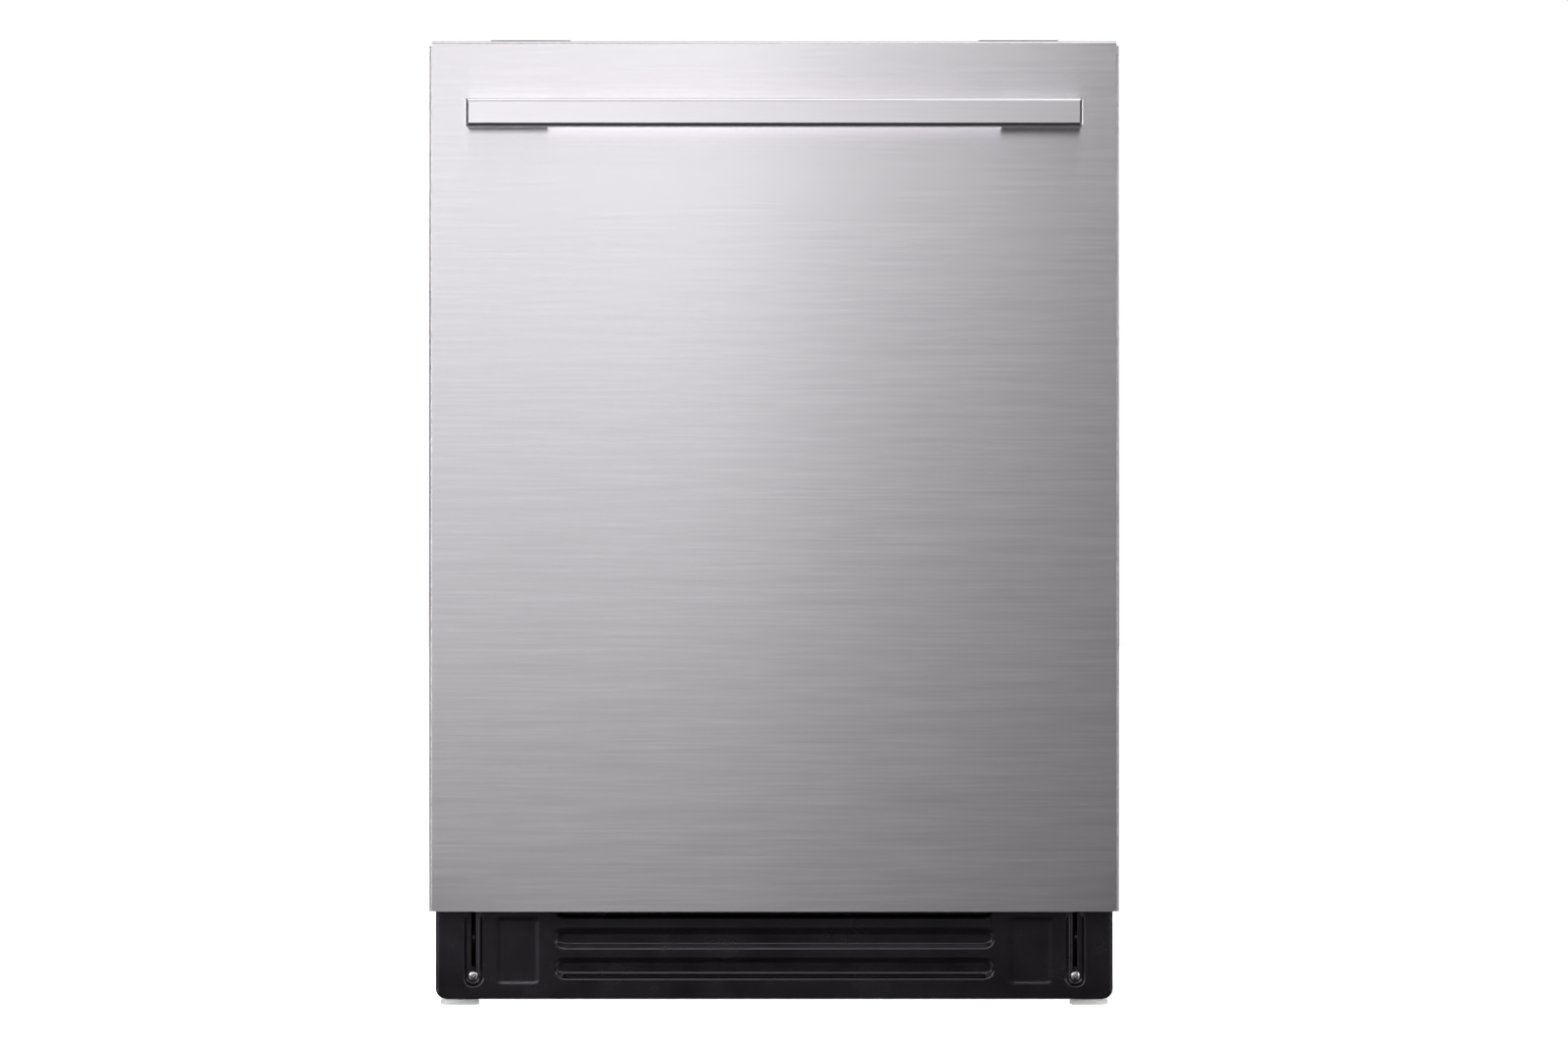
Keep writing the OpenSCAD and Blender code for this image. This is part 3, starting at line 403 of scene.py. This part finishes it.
def spaced(start, end, step, extra=()):
    """Grid lines from start to end about step apart, with lines at the extra places too."""
    count = max(1, round((end - start) / step))
    lines = {round(start + (end - start) * k / count, 6) for k in range(count + 1)}
    for place in extra:
        lines = {line for line in lines if abs(line - place) > step * 0.35 or line in (start, end)}
        lines.add(round(place, 6))
    return sorted(lines)


# ---------- door skin ----------

def door_skin():
    """Folded front sheet: bends at the sides and top, open notches at the top corners."""
    low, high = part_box("door_skin")
    half, face_y, back_y = high.x, low.y, high.y
    bend, low_bend = 2.2 * MM, 1.0 * MM
    hem, notch, hem_start = 9.5 * MM, 4 * MM, 141 * MM
    foot_fold, top_flange, flat_start = 27 * MM, 9 * MM, 2.5 * MM
    steps = 6
    quarter = [math.radians(90 * k / steps) for k in range(steps + 1)]
    side = [(half - hem, back_y)]
    side += [(half - bend + bend * math.sin(a), back_y - bend + bend * math.cos(a)) for a in quarter]
    side += [(half - bend + bend * math.cos(a), face_y + bend - bend * math.sin(a)) for a in quarter]
    first_front = len(side)
    right = side + [((half - flat_start) * (1 - k / 8), face_y) for k in range(8)]
    columns = right + [(0.0, face_y)] + [(-x, y) for x, y in reversed(right)]
    top_z, bottom_z = high.z - bend, low.z + low_bend
    rows = [("foot", foot_fold)] + [("low", a) for a in reversed(quarter)]
    rows += [("flat", z) for z in (hem_start, 0.3, 0.45, 0.6, 0.75, high.z - notch, top_z - 0.5 * MM)]
    rows += [("top", a) for a in quarter] + [("flange", top_flange)]
    last = len(columns) - 1

    def point(column, row):
        x, y = column
        kind, value = row
        if kind == "flat":
            return Vector((x, y, value))
        if kind == "top":
            return Vector((x, y + bend * (1 - math.cos(value)), top_z + bend * math.sin(value)))
        if kind == "flange":
            return Vector((x, y + value, high.z))
        if kind == "foot":
            return Vector((x, y + value, low.z))
        if y > face_y + 1e-6:
            return Vector((x, y, low.z + low_bend * (1 - math.sin(value))))
        return Vector((x, y + low_bend * (1 - math.cos(value)), bottom_z - low_bend * math.sin(value)))

    first_flat = next(k for k, row in enumerate(rows) if row[0] == "flat")
    above_notch = next(k for k, row in enumerate(rows) if row == ("flat", high.z - notch))

    def present(i, j):
        at_edge = min(i, last - 1 - i)
        if at_edge < first_front:
            return first_flat - 1 <= j < above_notch if at_edge > steps else first_flat <= j < above_notch
        if j < first_flat - 1:
            return at_edge >= first_front + 1
        return True

    sheet = Sheet()
    sheet.grid(columns, rows, point, present, flip=True)
    obj = smooth(mesh_object("door_skin_folded", sheet.verts, sheet.faces), 40)
    thicken(obj, 1 * MM)
    even_normals(obj)
    return finish_piece(obj, "door_steel", "door", "door_skin")


# ---------- toe kick ----------

KICK_PRESSES = (
    # centre x, centre z, width, height, depth, corner radius, wall width, all in mm
    [(0, 88.75, 387, 17.5, 5, 8.7, 3.6)]
    + [(s * 226, 51.5, 37, 59, 0.4, 4, 2.6) for s in (-1, 1)]
    + [(s * 265.5, 54, 16.5, 68, 3, 8, 2.4) for s in (-1, 1)]
)
# The two lower ribs slope gently: half width, then how deep the sheet lies at each height, all in mm
KICK_RIBS = (
    (193.5, ((53.0, 0.0), (58.2, 1.6), (66.1, 1.5), (71.4, 0.0))),
    (193.5, ((26.4, 0.0), (32.2, 2.1), (41.4, 1.9), (45.0, 0.0))),
)
# Screw slits: inner and outer edge from the middle, and the lower end; they run up to the top, in mm
SLIT_IN, SLIT_OUT, SLIT_FOOT = 263.7, 267.3, 29.5
# Air slot in the lowest rib: half width, lower and upper edge, in mm
SLOT_HALF, SLOT_LOW, SLOT_HIGH = 186, 27.7, 30.7


def pressed_depth(x, z):
    """How far the toe kick is pressed back at x, z, in mm."""
    depth = 0.0
    for cx, cz, width, height, deep, corner, wall in KICK_PRESSES:
        dx = abs(x - cx) - width / 2 + corner
        dz = abs(z - cz) - height / 2 + corner
        outside = math.hypot(max(dx, 0), max(dz, 0)) + min(max(dx, dz), 0) - corner
        share = min(1.0, max(0.0, -outside / wall))
        depth = max(depth, deep * share * share * (3 - 2 * share))
    for half, section in KICK_RIBS:
        bottom, top = section[0][0], section[-1][0]
        if bottom < z < top:
            round_end = (top - bottom) / 2
            past = max(0.0, abs(x) - half + round_end) / round_end
            shrink = math.sqrt(max(0.0, 1 - past ** 2))
            middle = (top + bottom) / 2
            level = middle + (z - middle) / max(shrink, 1e-6)
            for (z0, d0), (z1, d1) in zip(section, section[1:]):
                if z0 <= level <= z1:
                    depth = max(depth, (d0 + (d1 - d0) * (level - z0) / (z1 - z0)) * min(1.0, shrink * 1.6))
    return depth


def slit_shade_channel(sheet, side, face_y):
    """Black channel behind the upper part of a screw slit, open at its top and bottom: a dark sheet that
    stands in for the shade inside the slit; worked in mm.
    """
    half, front, back = 5.0, 4.6, 9.4
    bottom, top = 37, 87.5
    section = ((-half, front), (-half, back), (half, back), (half, front))
    middle = (SLIT_IN + SLIT_OUT) / 2
    for (x0, y0), (x1, y1) in zip(section, section[1:]):
        corners = ((x0, y0, bottom), (x1, y1, bottom), (x1, y1, top), (x0, y0, top))
        face = []
        for x, y, z in corners:
            place = Vector((side * middle + x, face_y / MM + y, z)) * MM
            face.append(sheet.vert(("backing", side, x, y, z), place))
        sheet.faces.append(face)


def toe_kick():
    """Pressed black sheet: ribs, panels, slits, rounded lower corners, folded sides; worked in mm."""
    low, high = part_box("toe_kick")
    half = high.x / MM
    shoulder, shoulder_z, corner = 284.0, 88.0, 9.5
    bottom, top = low.z / MM, high.z / MM
    bend, side_foot, side_depth = 1.5, 20.0, 12
    upright = [s * x for x in (0, SLOT_HALF, shoulder, SLIT_IN, SLIT_OUT) for s in (-1, 1)]
    upright += [x + s * width / 2 for x, _, width, *_ in KICK_PRESSES for s in (-1, 1)]
    level = [shoulder_z, SLIT_FOOT, SLOT_LOW, SLOT_HIGH, side_foot]
    level += [z for _, section in KICK_RIBS for z, _ in section]
    columns = spaced(-half, half, 1.6, upright)
    rows = spaced(bottom, top, 0.9, level)

    def reach(z):
        """Half width of the sheet at z, less in the rounded lower corners."""
        rise = max(0.0, z - bottom)
        return half if rise >= corner else half - corner + math.sqrt(corner ** 2 - (corner - rise) ** 2)

    def point(x, z):
        out = abs(x)
        if out > shoulder:
            out = shoulder + (out - shoulder) * (reach(z) - shoulder) / (half - shoulder)
        turn = max(0.0, out - half + bend)
        y = low.y / MM + pressed_depth(x, z) + bend - math.sqrt(max(0.0, bend ** 2 - turn ** 2))
        return Vector((math.copysign(out, x), y, z)) * MM

    def present(i, j):
        x = abs(columns[i] + columns[i + 1]) / 2
        z = (rows[j] + rows[j + 1]) / 2
        if z > shoulder_z and x > shoulder:
            return False
        if SLIT_IN < x < SLIT_OUT and z > SLIT_FOOT:
            return False
        return not (x < SLOT_HALF and SLOT_LOW < z < SLOT_HIGH)

    sheet = Sheet()
    sheet.grid(columns, rows, point, present)
    for end, flip in ((0, True), (len(columns) - 1, False)):
        side_rows = [j for j, z in enumerate(rows) if side_foot <= z <= shoulder_z]
        for a, b in zip(side_rows, side_rows[1:]):
            face = []
            for j, back in ((a, 0), (b, 0), (b, 1), (a, 1)):
                if back:
                    place = Vector((columns[end], low.y / MM + side_depth, rows[j])) * MM
                    face.append(sheet.vert(("side", end, j), place))
                else:
                    face.append(sheet.index[(end, j)])
            sheet.faces.append(face if flip else face[::-1])
    # Dark channels behind the slits stand in for the shade inside them
    for side in (-1, 1):
        slit_shade_channel(sheet, side, low.y)
    obj = smooth(mesh_object("toe_kick_pressed", sheet.verts, sheet.faces), 50)
    thicken(obj, 0.9 * MM)
    return finish_piece(obj, "black_steel", "chassis", "toe_kick")


def pan_head(radius, height):
    """Domed screw head about Z with a lobed recess; its underside is at z 0."""
    rings, segments = 14, 48
    lobes, bite = 6, 0.32
    verts, faces = [], []
    verts.append(Vector((0, 0, height * 0.45)))
    for ring in range(1, rings + 1):
        share = ring / rings
        for k in range(segments):
            angle = 2 * math.pi * k / segments
            edge = bite * (1 + 0.18 * math.cos(lobes * angle))
            inside = min(1.0, max(0.0, (edge - share) / 0.07 + 0.5))
            dome = height * (0.55 + 0.45 * math.sqrt(max(0.0, 1 - share ** 2.6)))
            z = dome - inside * height * 0.5
            verts.append(Vector((radius * share * math.cos(angle), radius * share * math.sin(angle), z)))
    base = len(verts)
    for k in range(segments):
        angle = 2 * math.pi * k / segments
        verts.append(Vector((radius * math.cos(angle), radius * math.sin(angle), 0)))
    verts.append(Vector((0, 0, 0)))
    for k in range(segments):
        n = (k + 1) % segments
        faces.append([0, 1 + k, 1 + n])
        for ring in range(rings):
            a, b = 1 + ring * segments, 1 + (ring + 1) * segments
            faces.append([a + k, b + k, b + n, a + n])
        faces.append([base + k, len(verts) - 1, base + n])
    return verts, faces


def turned(verts, axis, place):
    """Points made about Z, turned to point along axis and moved to place."""
    turn = Vector((0, 0, 1)).rotation_difference(Vector(axis)).to_matrix()
    return [turn @ v + Vector(place) for v in verts]


def threaded_shank(length, radius, pitch):
    """Points and faces of a screw's shank about Z, with its top at z 0."""
    profile = [(0, -length), (radius * 0.5, -length)]
    for k in range(int(length / pitch)):
        profile.append((radius, -length + (k + 0.5) * pitch))
        profile.append((radius * 0.72, -length + (k + 1) * pitch))
    profile.append((0, 0))
    return lathe(profile, 16)


def kick_screws():
    """The two pan-head screws in the toe kick's slits."""
    low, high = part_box("kick_screws")
    radius, height = 4.25 * MM, 2.6 * MM
    solids = (pan_head(radius, height), threaded_shank(11.5 * MM, 2.0 * MM, 0.8 * MM))
    parts = []
    for side in (-1, 1):
        place = (side * (high.x - radius), low.y + height, (low.z + high.z) / 2)
        parts += [(turned(verts, (0, -1, 0), place), faces) for verts, faces in solids]
    obj = smooth(joined("kick_screws_pan", parts), 38)
    finish_piece(obj, "bright_screw", "chassis", "kick_screws")


# ---------- soft and sprung pieces ----------

def closed_pad(name, xs, zs, depth):
    """Closed pad over the grid xs by zs; depth(layer, x, z, edge) is y, layer 0 in front and 1 behind."""
    verts, faces = [], []
    for layer in (0, 1):
        for x in xs:
            for z in zs:
                edge = min(x - xs[0], xs[-1] - x, z - zs[0], zs[-1] - z)
                verts.append(Vector((x, depth(layer, x, z, edge), z)))
    across, up = len(xs), len(zs)

    def at(layer, i, j):
        return layer * across * up + i * up + j

    for i in range(across - 1):
        for j in range(up - 1):
            faces.append([at(0, i, j), at(0, i + 1, j), at(0, i + 1, j + 1), at(0, i, j + 1)])
            faces.append([at(1, i, j), at(1, i, j + 1), at(1, i + 1, j + 1), at(1, i + 1, j)])
    last, top = across - 1, up - 1
    for i in range(last):
        faces.append([at(0, i, 0), at(1, i, 0), at(1, i + 1, 0), at(0, i + 1, 0)])
        faces.append([at(0, i + 1, top), at(1, i + 1, top), at(1, i, top), at(0, i, top)])
    for j in range(top):
        faces.append([at(0, 0, j + 1), at(1, 0, j + 1), at(1, 0, j), at(0, 0, j)])
        faces.append([at(0, last, j), at(1, last, j), at(1, last, j + 1), at(0, last, j + 1)])
    return smooth(mesh_object(name, verts, faces), 60)


# Just behind the tub: the wrap ends and the back pad starts here
TUB_BACK = 300.4 * MM


def felt_thickness(edge, spot, most):
    """Thin at a stitched edge, full and lumpy inside; edge is how far off the nearest edge is."""
    rise, stitch, stitch_width = 16 * MM, 12 * MM, 2.5 * MM
    full = min(1.0, edge / rise)
    seam = 1 - 0.35 * math.exp(-((edge - stitch) / stitch_width) ** 2)
    lumps = 0.82 + 0.12 * noise.noise(spot * 9) + 0.06 * noise.noise(spot * 31)
    return most * (0.3 + 0.7 * math.sin(full * math.pi / 2)) * seam * lumps


def blanket_wrap():
    """Felt over the tub's sides and top, with a cut-out for the water guide on the left."""
    low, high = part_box("insulation_blanket")
    inner_x, inner_z, corner = 284.4 * MM, 835.4 * MM, 20 * MM
    gap, slack, back_lap = 0.1 * MM, 0.3 * MM, 30 * MM
    cut_top, cut_front, cut_back = 542 * MM, 118 * MM, 292 * MM
    heights = spaced(low.z, inner_z - corner, 12 * MM, (cut_top,))
    wrap = [(Vector((inner_x, 0, z)), Vector((1, 0, 0))) for z in heights]
    for k in range(1, 9):
        a = math.radians(90 * k / 9)
        out = Vector((math.cos(a), 0, math.sin(a)))
        wrap.append((Vector((inner_x - corner, 0, inner_z - corner)) + out * corner, out))
    widths = spaced(0, inner_x - corner, 13 * MM)
    wrap += [(Vector((x, 0, inner_z)), Vector((0, 0, 1))) for x in reversed(widths)]
    wrap += [(Vector((-p.x, 0, p.z)), Vector((-o.x, 0, o.z))) for p, o in reversed(wrap[:-1])]
    depth = spaced(low.y, TUB_BACK, 12 * MM, (cut_front, cut_back))
    length = [0.0]
    for (a, _), (b, _) in zip(wrap, wrap[1:]):
        length.append(length[-1] + (b - a).length)

    def cut(p, y):
        return p.x < 0 and p.z < cut_top and cut_front < y < cut_back

    def cut_distance(p, y):
        if p.x > 0:
            return 1.0
        return math.hypot(max(p.z - cut_top, 0), max(cut_front - y, y - cut_back, 0))

    cells = set()
    for i in range(len(wrap) - 1):
        for j in range(len(depth) - 1):
            middle = (wrap[i][0] + wrap[i + 1][0]) / 2
            if not cut(middle, (depth[j] + depth[j + 1]) / 2):
                cells.add((i, j))

    def wrap_point(i, j, layer):
        p, out = wrap[i]
        y = depth[j]
        spot = Vector((p.x, y, p.z))
        if layer == 0:
            return spot + out * gap
        ends = (length[i], length[-1] - length[i], y - low.y, TUB_BACK - y + back_lap)
        room = high.x - inner_x if abs(out.z) < 0.5 else high.z - inner_z
        return spot + out * felt_thickness(min(*ends, cut_distance(p, y)), spot, room - slack)

    sheet = Sheet()
    # Neighbour cell, and the two corners of the side shared with it
    sides = (((0, -1), (0, 1)), ((1, 0), (1, 2)), ((0, 1), (2, 3)), ((-1, 0), (3, 0)))
    for i, j in cells:
        corners = [(i, j), (i + 1, j), (i + 1, j + 1), (i, j + 1)]
        outer = [sheet.vert((1, *c), wrap_point(*c, 1)) for c in corners]
        inner = [sheet.vert((0, *c), wrap_point(*c, 0)) for c in corners]
        sheet.faces += [outer, inner[::-1]]
        for (di, dj), (a, b) in sides:
            if (i + di, j + dj) not in cells:
                sheet.faces.append([outer[b], outer[a], inner[a], inner[b]])
    obj = smooth(mesh_object("felt_wrap", sheet.verts, sheet.faces), 60)
    finish_piece(obj, "felt", "chassis", "insulation_blanket")


def blanket_back():
    """Felt pad on the tub's back."""
    low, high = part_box("insulation_blanket")
    gap, slack, inset, step = 0.2 * MM, 0.3 * MM, 4 * MM, 12 * MM

    def depth(layer, x, z, edge):
        if layer == 0:
            return TUB_BACK + gap
        return TUB_BACK + felt_thickness(edge, Vector((x, 1.0, z)), high.y - TUB_BACK - slack)

    xs = spaced(low.x + inset, high.x - inset, step)
    zs = spaced(low.z, high.z - inset, step)
    back = closed_pad("felt_back", xs, zs, depth)
    finish_piece(back, "felt", "chassis")


def door_pad():
    """Sound pad inside the door, pressed thin round its edge."""
    low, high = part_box("door_insulation")
    middle, half = (low.y + high.y) / 2, (high.y - low.y) / 2
    rise, step = 25 * MM, 20 * MM

    def depth(layer, x, z, edge):
        side = 2 * layer - 1
        full = 0.35 + 0.6 * math.sin(min(1.0, edge / rise) * math.pi / 2)
        lump = 0.93 + 0.07 * noise.noise(Vector((x, side, z)) * 12)
        return middle + side * half * full * lump

    xs, zs = spaced(low.x, high.x, step), spaced(low.z, high.z, step)
    pad = closed_pad("door_pad_felt", xs, zs, depth)
    finish_piece(pad, "felt", "door", "door_insulation")


def balance_springs():
    """Coil springs and wire ropes of the door's balance."""
    low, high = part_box("balance_springs")
    front, rear, cable_front = -128 * MM, high.y, low.y
    x, z = 290.2 * MM, (low.z + high.z) / 2
    cable_x, cable_rear = 291.2 * MM, -154.1 * MM
    wire, coil, rope = 0.95 * MM, 4.0 * MM, 0.9 * MM
    turns, per_turn, drift, rope_steps = 27, 18, 0.03, 60
    springs, cables = [], []
    for side in (-1, 1):
        path = []
        for k in range(turns * per_turn + 1):
            share = k / (turns * per_turn)
            eased = share + drift * math.sin(2 * math.pi * share) / (2 * math.pi)
            angle = 2 * math.pi * k / per_turn
            y = front + wire + (rear - front - 2 * wire) * eased
            path.append(Vector((side * x + coil * math.cos(angle), y, z + coil * math.sin(angle))))
        springs.append(tube(path, wire, 8))
        ys = [cable_front + (cable_rear - cable_front) * k / rope_steps for k in range(rope_steps + 1)]
        run = [Vector((side * cable_x, y, z)) for y in ys]
        cables.append(tube(run, rope, 12, ridges=6, twist=0.35, depth=0.28))
    spring = smooth(joined("balance_coils", springs), 60)
    finish_piece(spring, "spring_steel", "chassis", "balance_springs")
    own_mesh(spring)
    cable = smooth(joined("balance_cables", cables), 60)
    finish_piece(cable, "spring_steel", "chassis")
    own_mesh(cable)


def door_gasket():
    """Bulb seal along the tub's mouth, with a lip towards the door."""
    low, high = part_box("door_gasket")
    half_width, corner = 3.25 * MM, 21 * MM
    centre_x, top_z = high.x - half_width, high.z - half_width
    heights = spaced(low.z, top_z - corner, 40 * MM)
    path = [(Vector((centre_x, 0, z)), Vector((1, 0, 0))) for z in heights]
    for k in range(1, 12):
        a = math.radians(90 * k / 12)
        out = Vector((math.cos(a), 0, math.sin(a)))
        path.append((Vector((centre_x - corner, 0, top_z - corner)) + out * corner, out))
    path.append((Vector((centre_x - corner, 0, top_z)), Vector((0, 0, 1))))
    path += [(Vector((-p.x, 0, p.z)), Vector((-o.x, 0, o.z))) for p, o in reversed(path)]
    foot, neck = (3.0, high.y - 2.2 * MM), (2.0, high.y - 2.8 * MM)
    bulb_half, bulb_depth = 2.9, 3.3 * MM
    profile = [(-foot[0], high.y), (foot[0], high.y), foot, neck]
    for k in range(9):
        a = math.radians(-40 + 260 * k / 8)
        profile.append((bulb_half * math.cos(a), low.y + bulb_depth - bulb_depth * math.sin(a)))
    profile += [(-neck[0], neck[1]), (-foot[0], foot[1])]
    verts, faces = [], []
    for p, out in path:
        for across, y in profile:
            verts.append(p + out * (across * MM) + Vector((0, y, 0)))
    n = len(profile)
    for k in range(len(path) - 1):
        for s in range(n):
            t = (s + 1) % n
            faces.append([k * n + s, k * n + t, (k + 1) * n + t, (k + 1) * n + s])
    faces.append(list(range(n))[::-1])
    faces.append([(len(path) - 1) * n + s for s in range(n)])
    obj = smooth(mesh_object("door_gasket_bulb", verts, faces), 45)
    finish_piece(obj, "seal_rubber", "chassis", "door_gasket")


# ---------- the CAD nodes that stay ----------

EASED = (
    # edge width in mm, segments, nodes
    (0.25, 1, ("tub",)),
    (0.3, 1, ("base_frame",)),
    (0.4, 1, ("silverware_basket",)),
    (0.8, 1, ("handle_bar",)),
    (0.3, 2, ("door_liner", "display_window", "mounting_brackets", "door_strike", "middle_rails",
              "outer_rails", "latch_catch", "spring_rods")),
    (0.35, 2, ("hinge_arms",)),
    (0.4, 2, ("junction_box", "hinge_brackets")),
    (0.5, 2, ("dispenser_body", "dispenser_lid", "door_vent", "power_button", "cycle_button",
              "start_button", "upper_slides", "fine_filter", "wheel_brackets")),
    (0.6, 2, ("control_panel", "rinse_aid_cap", "inlet_valve", "sump", "front_wheels",
              "middle_wheels", "rear_wheels", "door_bottom_seal", "front_left_foot",
              "front_right_foot", "rear_left_foot", "rear_right_foot")),
    (0.8, 2, ("handle_posts", "control_box", "water_guide", "circulation_pump", "drain_pump", "float")),
    (1.0, 2, ("upper_feed_tube",)),
    (1.2, 3, ("lower_spray_arm", "upper_spray_arm")),
    (1.5, 3, ("spray_manifold",)),
)


def dress_nodes():
    """Every node takes its slot's material; the ones named above have their edges eased."""
    eased = {node: (width * MM, segments) for width, segments, nodes in EASED for node in nodes}
    for name, obj in NODES.items():
        paint(obj, SLOT_OF[name])
        if name in eased:
            soften(obj, *eased[name])


# ---------- studio ----------

# The picture is FRAME_WIDTH wide at the door's face
DOOR_TO_LENS = 7.0
FRAME_WIDTH = 1.3704
LENS_X = 8.57 * MM
LENS_Z = 430.7 * MM


def camera():
    """Level and square to the front."""
    data = bpy.data.cameras.new("camera")
    data.sensor_width = 36.0
    data.lens = data.sensor_width * DOOR_TO_LENS / FRAME_WIDTH
    data.clip_end = 100.0
    obj = bpy.data.objects.new("camera", data)
    obj.location = (LENS_X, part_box("door_skin")[0].y - DOOR_TO_LENS, LENS_Z)
    obj.rotation_euler = (math.radians(90), 0, 0)
    bpy.context.scene.collection.objects.link(obj)
    bpy.context.scene.camera = obj


def area_light(name, place, target, size, power):
    """Soft box at place, turned to target; size is (width, height)."""
    data = bpy.data.lights.new(name, "AREA")
    data.shape = "RECTANGLE"
    data.size, data.size_y = size
    data.energy = power
    obj = bpy.data.objects.new(name, data)
    obj.location = place
    obj.rotation_euler = (Vector(target) - Vector(place)).to_track_quat("-Z", "Y").to_euler()
    obj.visible_camera = False
    bpy.context.scene.collection.objects.link(obj)
    return obj


def world():
    """White to the camera; to everything else a dim studio, lighter above and for the floor to each side."""
    made = bpy.data.worlds.new("studio")
    made.use_nodes = True
    bpy.context.scene.world = made
    tree = made.node_tree
    tree.nodes.clear()
    new = tree.nodes.new
    path, out, mix = new("ShaderNodeLightPath"), new("ShaderNodeOutputWorld"), new("ShaderNodeMixShader")
    seen, studio = new("ShaderNodeBackground"), new("ShaderNodeBackground")
    place, split = new("ShaderNodeTexCoord"), new("ShaderNodeSeparateXYZ")
    seen.inputs["Color"].default_value = (1, 1, 1, 1)
    link = tree.links.new
    link(place.outputs["Generated"], split.inputs[0])

    def ramp(source, start, end, low, high):
        made = new("ShaderNodeMapRange")
        for socket, value in zip(("From Min", "From Max", "To Min", "To Max"), (start, end, low, high)):
            made.inputs[socket].default_value = value
        link(source, made.inputs["Value"])
        return made.outputs["Result"]

    def combine(operation, *sources):
        made = new("ShaderNodeMath")
        made.operation = operation
        for k, source in enumerate(sources):
            link(source, made.inputs[k])
        return made.outputs[0]

    up = split.outputs["Z"]
    aside = ramp(combine("ABSOLUTE", split.outputs["X"]), 0.25, 0.6, 0.0, 1.0)
    below = ramp(up, -0.02, -0.3, 0.0, 0.4)
    strength = combine("ADD", ramp(up, -0.1, 0.9, 0.02, 0.35), combine("MULTIPLY", aside, below))
    link(strength, studio.inputs["Strength"])
    link(path.outputs["Is Camera Ray"], mix.inputs[0])
    link(studio.outputs[0], mix.inputs[1])
    link(seen.outputs[0], mix.inputs[2])
    link(mix.outputs[0], out.inputs["Surface"])


def floor():
    """Pale paper with a lamp of its own, which keeps it white under the machine's shadows."""
    bpy.ops.mesh.primitive_plane_add(size=40, location=(0, 0, -0.0005))
    obj = bpy.context.object
    obj.name = "floor"
    s = Shader("floor_paper", Roughness=0.9, Specular_IOR_Level=0.1)
    s.set("Base Color", s.mix(s.noise(3.0), rgb(0.80, 0.80, 0.80), rgb(0.83, 0.83, 0.83)))
    obj.data.materials.append(s.material)
    obj.visible_glossy = False
    sun = bpy.data.lights.new("floor_light", "SUN")
    sun.energy = 6.0
    sun.angle = math.radians(60)
    lamp = bpy.data.objects.new("floor_light", sun)
    bpy.context.scene.collection.objects.link(lamp)
    only = bpy.data.collections.new("floor_only")
    only.objects.link(obj)
    lamp.light_linking.receiver_collection = only
    lamp.light_linking.blocker_collection = only


def lights():
    """Soft boxes; the front ones pass the bar, which would else lie on the door as a wide dark band."""
    passed = bpy.data.collections.new("passed_by_front_lights")
    passed.objects.link(NODES["handle_bar"])
    passed.collection_objects[0].light_linking.link_state = "EXCLUDE"
    front_y = -3.8
    for name, x, z, size, power in (
        ("front_main", -0.62, 1.03, (1.25, 0.62), 6.7),
        ("front_mid", 0.16, 1.22, (0.4, 0.4), 1.05),
        ("front_top", 0.28, 1.7, (0.95, 0.65), 2.2),
        ("front_left", -1.64, 0.48, (1.56, 0.7), 5.9),
        ("front_low", -0.3, 0.18, (2.4, 0.8), 1.3),
    ):
        lamp = area_light(name, (x, front_y, z), (x, 0, z), size, power)
        lamp.light_linking.blocker_collection = passed
    area_light("overhead", (0.0, -0.6, 2.9), (0.0, -0.2, 0.4), (2.6, 1.6), 20)
    area_light("high", (0.0, -2.7, 2.7), (0.0, -0.3, 0.7), (2.4, 1.0), 4.5)
    for name, side in (("left_strip", -1), ("right_strip", 1)):
        strip = area_light(name, (side * 2.2, -3.2, 0.9), (side * 0.3, -0.28, 0.5), (0.4, 2.0), 14)
        strip.light_linking.receiver_collection = passed
    area_light("back_left", (-1.8, 2.4, 1.5), (0, 0.2, 0.5), (1.4, 1.4), 40)
    area_light("back_right", (1.8, 2.4, 1.2), (0, 0.2, 0.5), (1.4, 1.4), 30)


bpy.context.scene.view_settings.view_transform = "Standard"
bpy.context.scene.view_settings.look = "None"

camera()
world()
floor()
lights()
dress_nodes()
door_skin()
toe_kick()
kick_screws()
blanket_wrap()
blanket_back()
door_pad()
balance_springs()
door_gasket()
